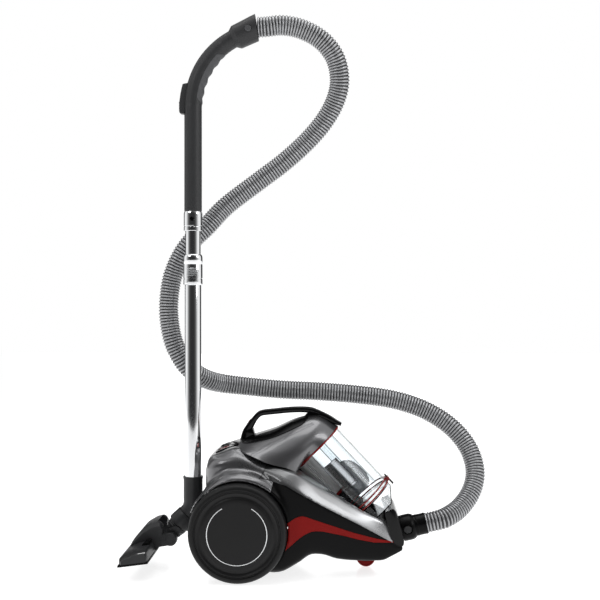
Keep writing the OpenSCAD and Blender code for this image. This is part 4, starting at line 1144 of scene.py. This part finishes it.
def hand_swell(along):
    """How much fuller the handle is where the palm lies."""
    return 0.6 * max(0.0, 1 - abs(along - 95) / 90)


def finger_wave(along):
    """The height of the finger waves, which fade out at both ends."""
    fade = max(0.0, min(1.0, (along - 2) / 12, (132 - along) / 12))
    return (1.1 * math.sin(2 * math.pi * along / 25.0) + 0.4) * fade


class VACUUM_OT_grip(bpy.types.Operator):
    """Build the curved handle, its soft insert, cuff, slider and buttons"""
    bl_idname = "vacuum.grip"
    bl_label = "Handle"

    def execute(self, context):
        count, hand_start = 150, 217.0
        path, total = even_path(grip_spine(), count)
        rings = []
        for i, p in enumerate(path):
            inner = bend_inward(path, i)
            s = total * i / (count - 1)
            along = s - hand_start
            horn = min(1.0, max(0.0, (along - 167) / 9))
            flare = 1.5 * min(1.0, max(0.0, (along - 176) / 44))
            wave = finger_wave(along)
            base = HAND_R + hand_swell(along) + horn * 6.9 + flare
            if s < 6:
                base -= 0.8 * (1 - s / 6) ** 2
            flat = 0.95 if 0 < along < 140 else 1.0
            ring = []
            for c, w in circle(1, 48):
                r = base + wave * max(0.0, c) ** 1.5
                ring.append(p + inner * (r * c) + SIDE * (r * w * flat))
            rings.append(ring)
        handle = solid(loft(rings))
        end, back = path[-1], (path[-1] - path[-5]).normalized()
        carved(handle, solid(sweep([end - back * 40, end + back * 30], circle(20.6, 48))))
        carved(handle, self.beyond_hose())
        sleeve = solid(upright([(15.77, 682), (18.4, 682), (19, 682.8), (19, 690), (18.5, 690.6), (18.5, 692),
                                (19, 692.6), (19, 716), (18.7, 719), (17.8, 721.5), (15.77, 721.5)]))
        carved(sleeve, catch_hole())
        piece(sleeve, "wand_ferrule", "wand_upper", FINISH["chrome"])
        cross = Vector((BEND_WAY.z, 0, -BEND_WAY.x))
        octagon = [(7.3 * math.cos(math.radians(22.5 + 45 * k)), 7.3 * math.sin(math.radians(22.5 + 45 * k)))
                   for k in range(8)]

        def button_form(levels):
            at = BEND_END + BEND_WAY * 27
            return solid(loft([[at + BEND_WAY * a * s + cross * b * s - SIDE * d for a, b in octagon]
                               for d, s in levels]))
        carved(handle, button_form(((15, 1.08), (40, 1.08))))
        piece(handle, "handle", "wand_upper", FINISH["charcoal"], ("grip_handle",),
              math.radians(28))
        catch = button_form(((23.0, 0.96), (25.9, 0.96), (26.6, 0.84)))
        piece(catch, "hose_catch", "hose_release", FINISH["soft"], ("hose_release_button",))
        lug = solid(lathe([(0, 16.4), (4.5, 16.4), (4.5, 20.4), (4.1, 21), (0, 21.2)], 32,
                          (WAND_X, 0, CATCH_Z), (0, -1, 0)))
        piece(lug, "wand_catch", "sleeve_release", FINISH["gloss"], ("wand_button",))
        self.insert(path, total, hand_start)
        self.slider()
        cuff_end = []
        for s in (10, 14, 55):
            q = BEND_END + BEND_WAY * s
            cuff_end.append([q + cross * a + SIDE * b for a, b in circle(20.4, 64)])
        cuff = solid(loft(cuff_end))
        carved(cuff, solid(sweep([BEND_END - BEND_WAY * 5, BEND_END + BEND_WAY * 80], circle(18.2, 64))))
        carved(cuff, self.beyond_hose())
        piece(cuff, "cuff", "wand_upper", FINISH["black"], ("hose_cuff",))
        return {"FINISHED"}

    def beyond_hose(self):
        """The room past the hose's end face, which the cuff and the handle are cut off by."""
        lean = math.radians(8)
        ahead = Vector((math.cos(lean), 0, math.sin(lean)))
        rise = Vector((-math.sin(lean), 0, math.cos(lean)))
        return solid(block(0, 90, -60, 60, -50, 50, (Vector((-45, 0, 1097)), ahead, SIDE, rise)))

    def insert(self, path, total, hand_start):
        """The soft insert with its finger waves, on the inside of the bend."""
        rows = []
        for i, p in enumerate(path):
            along = total * i / (len(path) - 1) - hand_start
            if not 4 < along < 134:
                continue
            inner = bend_inward(path, i)
            wave = finger_wave(along)
            end = min(1.0, max(0.12, min(along - 4, 134 - along) / 14))
            row = []
            for j in range(21):
                a = math.radians(-62 + 124 * j / 20) * math.sqrt(end)
                c, w = math.cos(a), math.sin(a)
                r = HAND_R + hand_swell(along) + wave * max(0.0, c) ** 1.5
                row.append(p + inner * (r * c) + SIDE * (r * w * 0.95))
            rows.append(row)
        made = solid(walled(rows, 0.6, 0.55))
        piece(made, "finger_grip", "wand_upper", FINISH["soft"], ("grip_insert",),
              math.radians(50))

    def slider(self):
        """The air bleed's slider with its row of notches."""
        outline = rounded([(-192.5, 921, 0), (-203.2, 923, 0), (-203.4, 944, 0), (-200.8, 964, 0),
                           (-196.5, 982, 0), (-186, 984, 0), (-191, 950, 0)], [1, 2, 6, 8, 2, 1, 6])
        made = softened(solid(prism(outline, -8.6, 8.6)), 1.8, 3)
        notches = []
        for k in range(6):
            z = 929 + 3.2 * k
            notches.append(block(-0.5, 1.1, -0.55, 0.55, -6.5, 6.5,
                                 (Vector((-203.3, 0, z)), Vector((-1, 0, 0)), Vector((0, 0, 1)), SIDE)))
        made = joined_objects(made, solid(joined(*notches)))
        piece(made, "air_slider", "bleed", FINISH["charcoal"], ("bleed_slider",))


# ---------------------------------------------------------------- neck and floorhead
def on_head(x, y, z):
    """A point of the floorhead from its own frame at the pivot."""
    c, s = math.cos(HEAD_TILT), math.sin(HEAD_TILT)
    return Vector((PIVOT.x + x * c - z * s, y, PIVOT.z + x * s + z * c))


def head_prism(outline, y0, y1):
    """An (x, z) outline of the floorhead's frame drawn out along Y."""
    return solid(loft([[on_head(p[0], y, p[1]) for p in outline] for y in (y0, y1)]))


class VACUUM_OT_neck(bpy.types.Operator):
    """Build the wand socket, park hook and swivel neck"""
    bl_idname = "vacuum.neck"
    bl_label = "Neck"

    def execute(self, context):
        slope = math.radians(50)
        down = Vector((-math.cos(slope), 0, -math.sin(slope)))
        elbow = Vector((WAND_X, 0, 117))
        path = smooth_line([(WAND_X, 0, 180.6), (WAND_X, 0, 160), (WAND_X, 0, 140), (WAND_X, 0, 126),
                            elbow + Vector((-3.4, 0, -3.0)),
                            elbow + down * 11, elbow + down * 16], 5)

        def girth(f):
            lip = 1.045 if f < 0.05 else 1.0
            return lip, lip
        socket = solid(sweep(path, circle(19.4, 56), girth))
        carved(socket, solid(upright([(0, 138), (17.05, 138), (17.05, 200), (0, 200)], loop=False)))
        hook = softened(solid(prism([(-159.5, 136), (-150, 136), (-150, 106), (-146.4, 104.5),
                                     (-146.2, 143), (-148, 144), (-159.5, 144)], -11.8, 11.8)), 1.0)
        carved(socket, hook, "UNION")
        piece(socket, "wand_socket", "wand_lower", FINISH["head"], ("neck_socket",),
              math.radians(30))
        collar = []
        cross = Vector((down.z, 0, -down.x))
        for s, r in ((16.6, 18.6), (17.2, 20.4), (19, 21.2), (26, 22.2), (34, 23.4), (40, 24), (43, 23.8),
                     (44, 22.6), (45, 20.4), (46, 20), (48, 21), (50, 20), (52, 20.8), (54, 19.8),
                     (57.5, 19.2)):
            q = elbow + down * s
            collar.append([q + cross * a + SIDE * b for a, b in circle(r, 64)])
        neck = solid(loft(collar))
        for side in (1, -1):
            arm = rounded([(-205.5, 84, 0), (-222, 79, 0), (-226, 60, 0), (-216, 50.5, 0), (-206.5, 56, 0),
                           (-196, 76, 0)], 6)
            carved(neck, solid(prism(arm, side * 20, side * 26)), "UNION")
            pin = lathe([(0, 22), (5, 22), (5, 39.2), (4.4, 40), (0, 40)], 40, PIVOT, (0, side, 0))
            carved(neck, solid(pin), "UNION")
        carved(neck, solid(sweep([elbow + down * 10, elbow + down * 70], circle(13, 48))))
        piece(neck, "swivel_neck", "neck", FINISH["head"], ("neck_collar",),
              math.radians(30))
        return {"FINISHED"}


class VACUUM_OT_head(bpy.types.Operator):
    """Build the floorhead: cover, hump, sole, pedal, brushes and rollers"""
    bl_idname = "vacuum.head"
    bl_label = "Floorhead"

    def execute(self, context):
        nose = rounded([(-90.3, -17.2, 0), (-89.4, -7.5, 0), (-82, -2.6, 0), (-60, 3, 0), (-33, 4, 0),
                        (-32.4, -17.2, 0)], [0.8, 4, 6, 8, 4, 0.8], 4)
        rings = []
        for f in (-1, -0.985, -0.95, -0.88, -0.6, -0.3, 0, 0.3, 0.6, 0.88, 0.95, 0.985, 1):
            tuck = max(0.0, (abs(f) - 0.86) / 0.14) ** 2.2
            rings.append([on_head(p.x + tuck * (7 if p.x < -60 else -2), f * 134.8,
                                  p.y - tuck * 6 * max(0, (p.y + 17) / 20)) for p in nose])
        cover = solid(loft(rings))
        hump = []
        for y in (-44, -43.2, -40, -34, -20, 0, 20, 34, 40, 43.2, 44):
            edge = max(0.0, (abs(y) - 30) / 14)
            drop = 9 * edge ** 2
            outline = rounded([(-86, -16, 0), (-85, -5 - drop * 0.2, 0), (-76, 8 - drop * 0.6, 0),
                               (-53, 29 - drop, 0), (-34, 37 - drop, 0), (-19, 38.6 - drop * 0.9, 0),
                               (-12.6, 31 - drop, 0), (-22, -6, 0), (-27, -16, 0)],
                               [1, 3, 5, 4, 4, 5, 4, 4, 1], 4)
            hump.append([on_head(p.x, y, p.y) for p in outline])
        carved(cover, solid(loft(hump)), "UNION")
        for side in (1, -1):
            boss = lathe([(0, 28.5), (12, 28.5), (13, 29.5), (13, 42), (12, 43.6), (8.5, 43.8), (8, 42.6),
                          (0, 42.6)], 48, PIVOT, (0, side, 0))
            carved(cover, solid(boss), "UNION")
            arm = rounded([(-32, -12, 0), (-32, 14, 0), (0, 11, 0), (8, 0, 0), (0, -11, 0)], 4)
            carved(cover, head_prism(arm, side * 29, side * 43), "UNION")
            hole = lathe([(0, 20), (5.3, 20), (5.3, 42), (0, 42)], 40, PIVOT, (0, side, 0))
            carved(cover, solid(hole))
        void = [(-80, -25), (-75, -3), (-50, 25.5), (-30, 32.5), (10, 62), (42, 0), (0, -32), (-38, -25)]
        inside = [(-87.5, -22), (-86.5, -9), (-80, -6), (-60, -0.5), (-35.5, 0.5), (-35.5, -22)]
        well = [(-50.5, -30), (-50.5, 30), (-34.5, 30), (-34.5, -30)]
        recess = [(-77, 9.5), (-58, 26.5), (-46, 30), (-50, 42), (-84, 20)]
        for outline, y0, y1 in ((void, -27.3, 27.3), (inside, -131, 131), (well, -82.5, -51.5),
                                (recess, -20, 20)):
            carved(cover, head_prism(outline, y0, y1))
        piece(cover, "head_shell", "head", FINISH["head"], ("head_cover",),
              math.radians(28))
        piece(from_cad("head_sole", 0.4), "sole_plate", "head", FINISH["black"],
              ("head_sole",))
        pedal = rounded([(-49.8, -7, 0), (-49.8, 5, 0), (-47, 7.8, 0), (-36, 8, 0), (-35.2, 6, 0),
                         (-35.2, -7, 0)], 1.4)
        piece(softened(head_prism(pedal, -81.8, -52.2), 0.8), "floor_pedal", "mode", FINISH["black"],
              ("mode_pedal",))
        tuft = loft([[on_head(-75.9 + a, b, z) for a, b in ((-1.7, -1.1), (1.7, -1.1), (1.9, 1.1),
                                                            (-1.6, 1.1))] for z in (-20.4, -11.6)])
        strips = []
        for start in (-123.5, 11.9):
            strips.append(row_of(tuft, "tufts", 45, (0, 2.5, 0), FINISH["bristle"], (0, start, 0)))
        piece(joined_objects(*strips), "brushes", "brushes", FINISH["bristle"], ("brush_strips",))
        rollers = []
        for side in (1, -1):
            rollers.append(lathe([(0, 92), (1.5, 92), (1.5, 97), (4.6, 97), (5, 97.6), (5, 106.4),
                                  (4.6, 107), (1.5, 107), (1.5, 112), (0, 112)], 32,
                                 on_head(-40, 0, -17), (0, side, 0)))
        piece(solid(joined(*rollers)), "sole_rollers", "rollers", FINISH["charcoal"],
              ("head_rollers",))
        return {"FINISHED"}


# ---------------------------------------------------------------- rear deck and fittings
class VACUUM_OT_rear(bpy.types.Operator):
    """Build the rear deck, its two pedals, the exhaust grille and the cord outlet"""
    bl_idname = "vacuum.rear"
    bl_label = "Rear deck and pedals"

    def execute(self, context):
        piece(from_cad("rear_deck", 0.9), "deck", "canister", FINISH["gloss"], ("rear_deck",))
        for side, name, body, finish, slot, top in ((1, "foot_pedal", "power", "gloss", "gloss_black", 2.0),
                                                    (-1, "cord_pedal", "rewind", "ring_red", "red_plastic",
                                                     0.0)):
            outline = rounded([(-120.8, 226, 0), (-120.8, 234, 0), (-117, 239.5 + top, 0),
                               (-108, 243 + top, 0), (-100.2, 245 + top, 0), (-100.2, 226, 0)],
                              [1, 3, 4, 3, 2, 1])
            made = softened(solid(prism(outline, side * 22 - 15.8, side * 22 + 15.8)), 1.4, 3)
            ribs = [block(0, 15, -0.5, 0.9, -0.7, 0.7, (Vector((-118.5, side * 22 + 6 * k, 239 + top)),
                                                        Vector((0.95, 0, 0.3)).normalized(),
                                                        Vector((-0.3, 0, 0.95)).normalized(), SIDE))
                                                        for k in (-1, 0, 1)]
            made = joined_objects(made, solid(joined(*ribs)))
            if side > 0:
                made = joined_objects(made,
                                      solid(block(0, 6, 0, 6, 0, 8,
                                                  (Vector((-112, 19, 221)), Vector((1, 0, 0)), SIDE,
                                                   Vector((0, 0, 1))))))
            piece(made, name, body, FINISH[finish], (body + "_pedal",))
        frame_form = solid(prism([(-141.8, 90.4), (-138.8, 90.4), (-138.8, 133.6), (-141.8, 133.6)], -68.6,
                                 -19.4))
        carved(frame_form, solid(prism([(-150, 93.4), (-130, 93.4), (-130, 130.6), (-150, 130.6)], -65.4,
                                       -22.6)))
        slat = prism([(-141.4, 93.6), (-139, 95.2), (-139, 96.2), (-141.4, 94.8)], -66, -22)
        slats = row_of(slat, "slats", 9, (0, 0, 4.1), FINISH["gloss"])
        piece(joined_objects(frame_form, slats), "exhaust_slats", "canister", FINISH["gloss"],
              ("exhaust_grille",))
        outlet = lathe([(5, -2.4), (6, -2.5), (13, -2.5), (14, -1.6), (14, -0.4), (10.7, -0.4), (10.7, 6.4),
                        (5, 6.4)], 48, (-142, 44, 112), (1, 0, 0), True)
        piece(solid(outlet), "cord_bush", "canister", FINISH["gloss"], ("cord_outlet",))
        piece(from_cad("cup_cradle"), "cradle", "canister", FINISH["black"],
              ("cup_cradle",), math.radians(20))
        piece(from_cad("inlet_duct"), "duct", "canister", FINISH["black"], ("inlet_duct",))
        piece(from_cad("wheel_axles", 0.4), "axle_pins", "canister", FINISH["steel"],
              ("wheel_axles",))
        screw = joined(lathe([(0, -0.5), (3.3, -0.5), (3.6, -0.2), (3.6, 1.1), (1.9, 1.1), (1.9, 13.5),
                              (0, 13.5)], 24))
        heads = []
        for x, y, low in ((-95, 60, 11.3), (-20, 70, 8.4), (100, 62, 45.4), (222, 40, 42.0)):
            heads.append(row_of(screw, "screws", 2, (0, -2 * y, 0), FINISH["steel"], (x, y, low)))
        piece(joined_objects(*heads), "screws", "canister", FINISH["steel"], ("base_screws",))
        return {"FINISHED"}


FRAME_FINISH = {
    "motor_housing": "black", "motor_can": "steel", "premotor_filter": "foam", "reel_axle": "steel",
    "power_switch": "black",
    "motor_rotor": "copper", "motor_fan": "steel", "cord_reel": "charcoal",
}


class VACUUM_OT_inner_parts(bpy.types.Operator):
    """Give the motor, fan, reel and other inner parts their finishes"""
    bl_idname = "vacuum.inner_parts"
    bl_label = "Inner parts"

    def execute(self, context):
        for node, finish in FRAME_FINISH.items():
            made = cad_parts[node]
            made.data.materials.clear()
            made.data.materials.append(FINISH[finish])
        return {"FINISHED"}


# ---------------------------------------------------------------- hose
HOSE_POINTS = [
    (300.6, 0, 88.6), (318, 0, 92.6), (340, 5, 98.5), (371, 27, 114), (398, 50, 145), (408, 70, 184),
    (396, 88, 228), (362, 100, 270),
    (309, 110, 304), (243, 115, 326), (168, 115, 337), (82, 115, 344), (-4, 115, 348), (-77, 112, 355),
    (-128, 100, 362), (-158, 80, 372), (-182, 62, 388), (-203, 50, 411), (-222, 45, 449), (-232, 45, 495),
    (-233, 45, 541), (-225, 45, 591), (-206, 45, 635), (-183, 48, 667), (-156, 55, 694), (-115, 66, 739),
    (-46, 70, 792), (6, 70, 831), (56, 65, 875), (93, 55, 917), (116, 45, 958), (124, 34, 998),
    (114, 22, 1041),
    (85, 12, 1075), (43, 6, 1096), (6, 2, 1102), (-22, 0, 1099), (-41, 0, 1098),
]
HOSE_SPLIT = 21


class HoseSettings(bpy.types.PropertyGroup):
    pitch: bpy.props.FloatProperty(name="Rib pitch", description="Distance between ribs, in millimetres",
                                   default=6.1, min=3, max=12)
    rib: bpy.props.FloatProperty(name="Rib radius",
                                 description="Radius of a rib's own section, in millimetres", default=2.1,
                                 min=1, max=4)
    outer: bpy.props.FloatProperty(name="Outer radius", description="Radius over the ribs, in millimetres",
                                   default=20.8, min=15, max=25)


def hose_tree(settings):
    """Ribs at even distances along a line, and the dark wall between them."""
    def build(tree, inlet, outlet):
        sizes = {"Pitch": settings.pitch, "Rib": settings.rib, "Centre radius": settings.outer - settings.rib}
        for name, size in sizes.items():
            tree_input(tree, name, "NodeSocketFloat", size * MM)
        given = inlet.outputs
        line = add(tree, "GeometryNodeMeshToCurve", {"Mesh": given["Shape"]}).outputs["Curve"]
        stepped = {"Curve": line, "Length": given["Pitch"]}
        even = add(tree, "GeometryNodeResampleCurve", stepped, mode="LENGTH").outputs["Curve"]
        spots = add(tree, "GeometryNodeCurveToPoints", {"Curve": even}, mode="EVALUATED").outputs
        round_line = {"Resolution": 28, "Radius": given["Centre radius"]}
        ring = add(tree, "GeometryNodeCurvePrimitiveCircle", round_line).outputs["Curve"]
        bead_line = {"Resolution": 8, "Radius": given["Rib"]}
        bead = add(tree, "GeometryNodeCurvePrimitiveCircle", bead_line).outputs["Curve"]
        rib = add(tree, "GeometryNodeCurveToMesh", {"Curve": ring, "Profile Curve": bead}).outputs["Mesh"]
        smooth = add(tree, "GeometryNodeSetShadeSmooth", {"Geometry": rib}).outputs["Geometry"]
        placed = {"Points": spots["Points"], "Rotation": spots["Rotation"], "Instance": smooth}
        copies = add(tree, "GeometryNodeInstanceOnPoints", placed).outputs["Instances"]
        real = add(tree, "GeometryNodeRealizeInstances", {"Geometry": copies}).outputs["Geometry"]
        walled_line = {"Curve": even, "Profile Curve": ring, "Fill Caps": True}
        wall = add(tree, "GeometryNodeCurveToMesh", walled_line).outputs["Mesh"]
        both = add(tree, "GeometryNodeJoinGeometry")
        for form, finish in ((wall, "hose_wall"), (real, "hose")):
            painted = add(tree, "GeometryNodeSetMaterial", {"Geometry": form, "Material": FINISH[finish]})
            tree.links.new(painted.outputs["Geometry"], both.inputs["Geometry"])
        tree.links.new(both.outputs["Geometry"], outlet.inputs["Shape"])
    return scatter_tree("Hose ribs", build)


class VACUUM_OT_hose(bpy.types.Operator):
    """Build the ribbed suction hose in its two bending lengths"""
    bl_idname = "vacuum.hose"
    bl_label = "Suction hose"

    def execute(self, context):
        tree = hose_tree(context.scene.vacuum_hose)
        whole = smooth_line(HOSE_POINTS, 8)
        cut = HOSE_SPLIT * 8
        for name, route, bodies, low, high in (
                ("hose_lower", whole[:cut + 1], ("canister", "wand_lower"), 0.352, 0.585),
                ("hose_upper", whole[cut:], ("wand_lower", "wand_upper"), 0.62, 1.06)):
            mesh = bpy.data.meshes.new(name)
            mesh.from_pydata([p * MM for p in route], [(i, i + 1) for i in range(len(route) - 1)], [])
            made = bpy.data.objects.new(name, mesh)
            context.scene.collection.objects.link(made)
            modifier = made.modifiers.new("ribs", "NODES")
            modifier.node_group = tree
            applied(made)
            made.data.name = name
            made.data.shade_smooth()
            if name == "hose_lower":
                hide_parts("suction_hose")
            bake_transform(made, bodies[0], bodies[1], (0, 0, low), (0, 0, high))
        return {"FINISHED"}


# ---------------------------------------------------------------- stage
CAMERA_SIDE = (-0.06, -0.998, 0.0)
EYE = Vector((0.114, -2.039, 0.541))


class VACUUM_OT_stage(bpy.types.Operator):
    """Build the floor, the lights and the camera"""
    bl_idname = "vacuum.stage"
    bl_label = "Stage"

    def execute(self, context):
        scene = context.scene
        eye = bpy.data.objects.new("camera", bpy.data.cameras.new("camera"))
        scene.collection.objects.link(eye)
        eye.data.lens = 60
        eye.data.sensor_width = 36
        eye.data.clip_end = 100
        eye.location = EYE
        aim = Vector((0.043, 0.0, 0.541)) - EYE
        eye.rotation_euler = aim.to_track_quat("-Z", "Y").to_euler()
        scene.camera = eye
        mesh = bpy.data.meshes.new("floor")
        mesh.from_pydata([(-8, -8, -0.0006), (8, -8, -0.0006), (8, 8, -0.0006), (-8, 8, -0.0006)], [],
                         [(0, 1, 2, 3)])
        floor = bpy.data.objects.new("floor", mesh)
        scene.collection.objects.link(floor)
        paint = grained("Studio floor", (0.55, 0.55, 0.553), 0.16, 60, 0.01, spread=0.01, rough_spread=0.01,
                        specular=0.5)
        shader = paint.node_tree.nodes["Principled BSDF"]
        shader.inputs["Emission Color"].default_value = (1, 1, 1, 1)
        shader.inputs["Emission Strength"].default_value = 0.8
        floor.data.materials.append(paint)
        world = bpy.data.worlds.new("studio")
        scene.world = world
        world.use_nodes = True
        tree = world.node_tree
        nodes, links = tree.nodes, tree.links
        place = add(tree, "ShaderNodeTexCoord").outputs["Generated"]
        toward = add(tree, "ShaderNodeVectorMath", {0: place, 1: CAMERA_SIDE}, operation="DOT_PRODUCT")
        spread = ranged(tree, toward.outputs["Value"], 0.0, 1.0, -1.0)
        ramp = add(tree, "ShaderNodeValToRGB", {"Fac": spread})
        stops = ramp.color_ramp
        stops.elements[0].position = 0.0
        stops.elements[0].color = (1.0, 1.0, 1.0, 1)
        stops.elements[1].position = 1.0
        stops.elements[1].color = (0.03, 0.03, 0.032, 1)
        for position, value in ((0.0275, 1.0), (0.037, 0.05), (0.23, 0.05), (0.31, 1.0), (0.56, 1.0),
                                (0.68, 0.62), (0.80, 0.2), (0.90, 0.06), (0.96, 0.035)):
            stop = stops.elements.new(position)
            stop.color = (value, value, value, 1)
        back = fed(tree, nodes["Background"], {"Color": ramp.outputs["Color"], "Strength": 1.0})
        plain = add(tree, "ShaderNodeBackground", {"Color": (1, 1, 1, 1), "Strength": 1.0})
        seen = add(tree, "ShaderNodeLightPath").outputs["Is Camera Ray"]
        mix = add(tree, "ShaderNodeMixShader", {
            "Fac": seen, 1: back.outputs["Background"], 2: plain.outputs["Background"]})
        links.new(mix.outputs["Shader"], nodes["World Output"].inputs["Surface"])
        scene.view_settings.view_transform = "Standard"
        for name, spot, target, size, power in (
                ("key", (-1.5, -1.5, 2.1), (0, 0, 0.25), 1.0, 11), ("rim", (1.7, -0.9, 1.5), (0.1, 0, 0.3),
                                                                    0.8, 9),
                ("top", (0.1, 0.2, 2.6), (0, 0, 0.3), 1.6, 18)):
            lamp = bpy.data.lights.new(name, "AREA")
            lamp.size = size
            lamp.energy = power
            made = bpy.data.objects.new(name, lamp)
            made.location = spot
            made.rotation_euler = (Vector(target) - Vector(spot)).to_track_quat("-Z", "Y").to_euler()
            scene.collection.objects.link(made)
        return {"FINISHED"}


class PaintSettings(bpy.types.PropertyGroup):
    base_black: bpy.props.FloatVectorProperty(name="Base", description="Colour of the black mouldings",
                                              subtype="COLOR", default=(0.0035, 0.0035, 0.0037))
    charcoal: bpy.props.FloatVectorProperty(name="Charcoal", description="Colour of the handle",
                                            subtype="COLOR", default=(0.030, 0.0305, 0.032))
    metallic_grey: bpy.props.FloatVectorProperty(name="Metallic grey",
                                                 description="Colour of the cowl and rear shell",
                                                 subtype="COLOR", default=(0.125, 0.125, 0.13))
    silver: bpy.props.FloatVectorProperty(name="Silver", description="Colour of the side panels",
                                          subtype="COLOR", default=(0.42, 0.425, 0.435))
    accent_red: bpy.props.FloatVectorProperty(name="Accent red", description="Colour of the accent stripes",
                                              subtype="COLOR", default=(0.20, 0.006, 0.005))
    hose_grey: bpy.props.FloatVectorProperty(name="Hose grey", description="Colour of the hose ribs",
                                             subtype="COLOR", default=(0.36, 0.365, 0.375))


class VACUUM_OT_finishes(bpy.types.Operator):
    """Make the materials that the pieces share"""
    bl_idname = "vacuum.finishes"
    bl_label = "Finishes"

    def execute(self, context):
        make_finishes(context.scene.vacuum_paint)
        return {"FINISHED"}


OPERATORS = (
    VACUUM_OT_finishes, VACUUM_OT_stage, VACUUM_OT_hose, VACUUM_OT_body, VACUUM_OT_cowl, VACUUM_OT_bin,
    VACUUM_OT_cyclone,
    VACUUM_OT_carry_handle, VACUUM_OT_wheels, VACUUM_OT_castor, VACUUM_OT_inlet, VACUUM_OT_wand,
    VACUUM_OT_grip, VACUUM_OT_neck,
    VACUUM_OT_head, VACUUM_OT_rear, VACUUM_OT_inner_parts,
)


class VACUUM_PT_panel(bpy.types.Panel):
    """Lists the vacuum cleaner's pieces and sizes"""
    bl_idname = "VACUUM_PT_panel"
    bl_label = "Vacuum Cleaner"
    bl_space_type = "VIEW_3D"
    bl_region_type = "UI"
    bl_category = "Vacuum"

    def draw(self, context):
        for group in SETTINGS:
            values = getattr(context.scene, group)
            for name in values.bl_rna.properties.keys():
                if name not in ("rna_type", "name"):
                    self.layout.prop(values, name)
        for operator in OPERATORS:
            self.layout.operator(operator.bl_idname)


SETTINGS = {"vacuum_paint": PaintSettings, "vacuum_body": BodySettings, "vacuum_wheel": WheelSettings,
            "vacuum_hose": HoseSettings}


def register():
    for kind in (*SETTINGS.values(), *OPERATORS, VACUUM_PT_panel):
        bpy.utils.register_class(kind)
    for name, kind in SETTINGS.items():
        setattr(bpy.types.Scene, name, bpy.props.PointerProperty(type=kind))


def unregister():
    for name in SETTINGS:
        delattr(bpy.types.Scene, name)
    for kind in reversed((*SETTINGS.values(), *OPERATORS, VACUUM_PT_panel)):
        bpy.utils.unregister_class(kind)


def main():
    register()
    for operator in OPERATORS:
        group, name = operator.bl_idname.split(".")
        getattr(getattr(bpy.ops, group), name)()


if __name__ == "__main__":
    main()
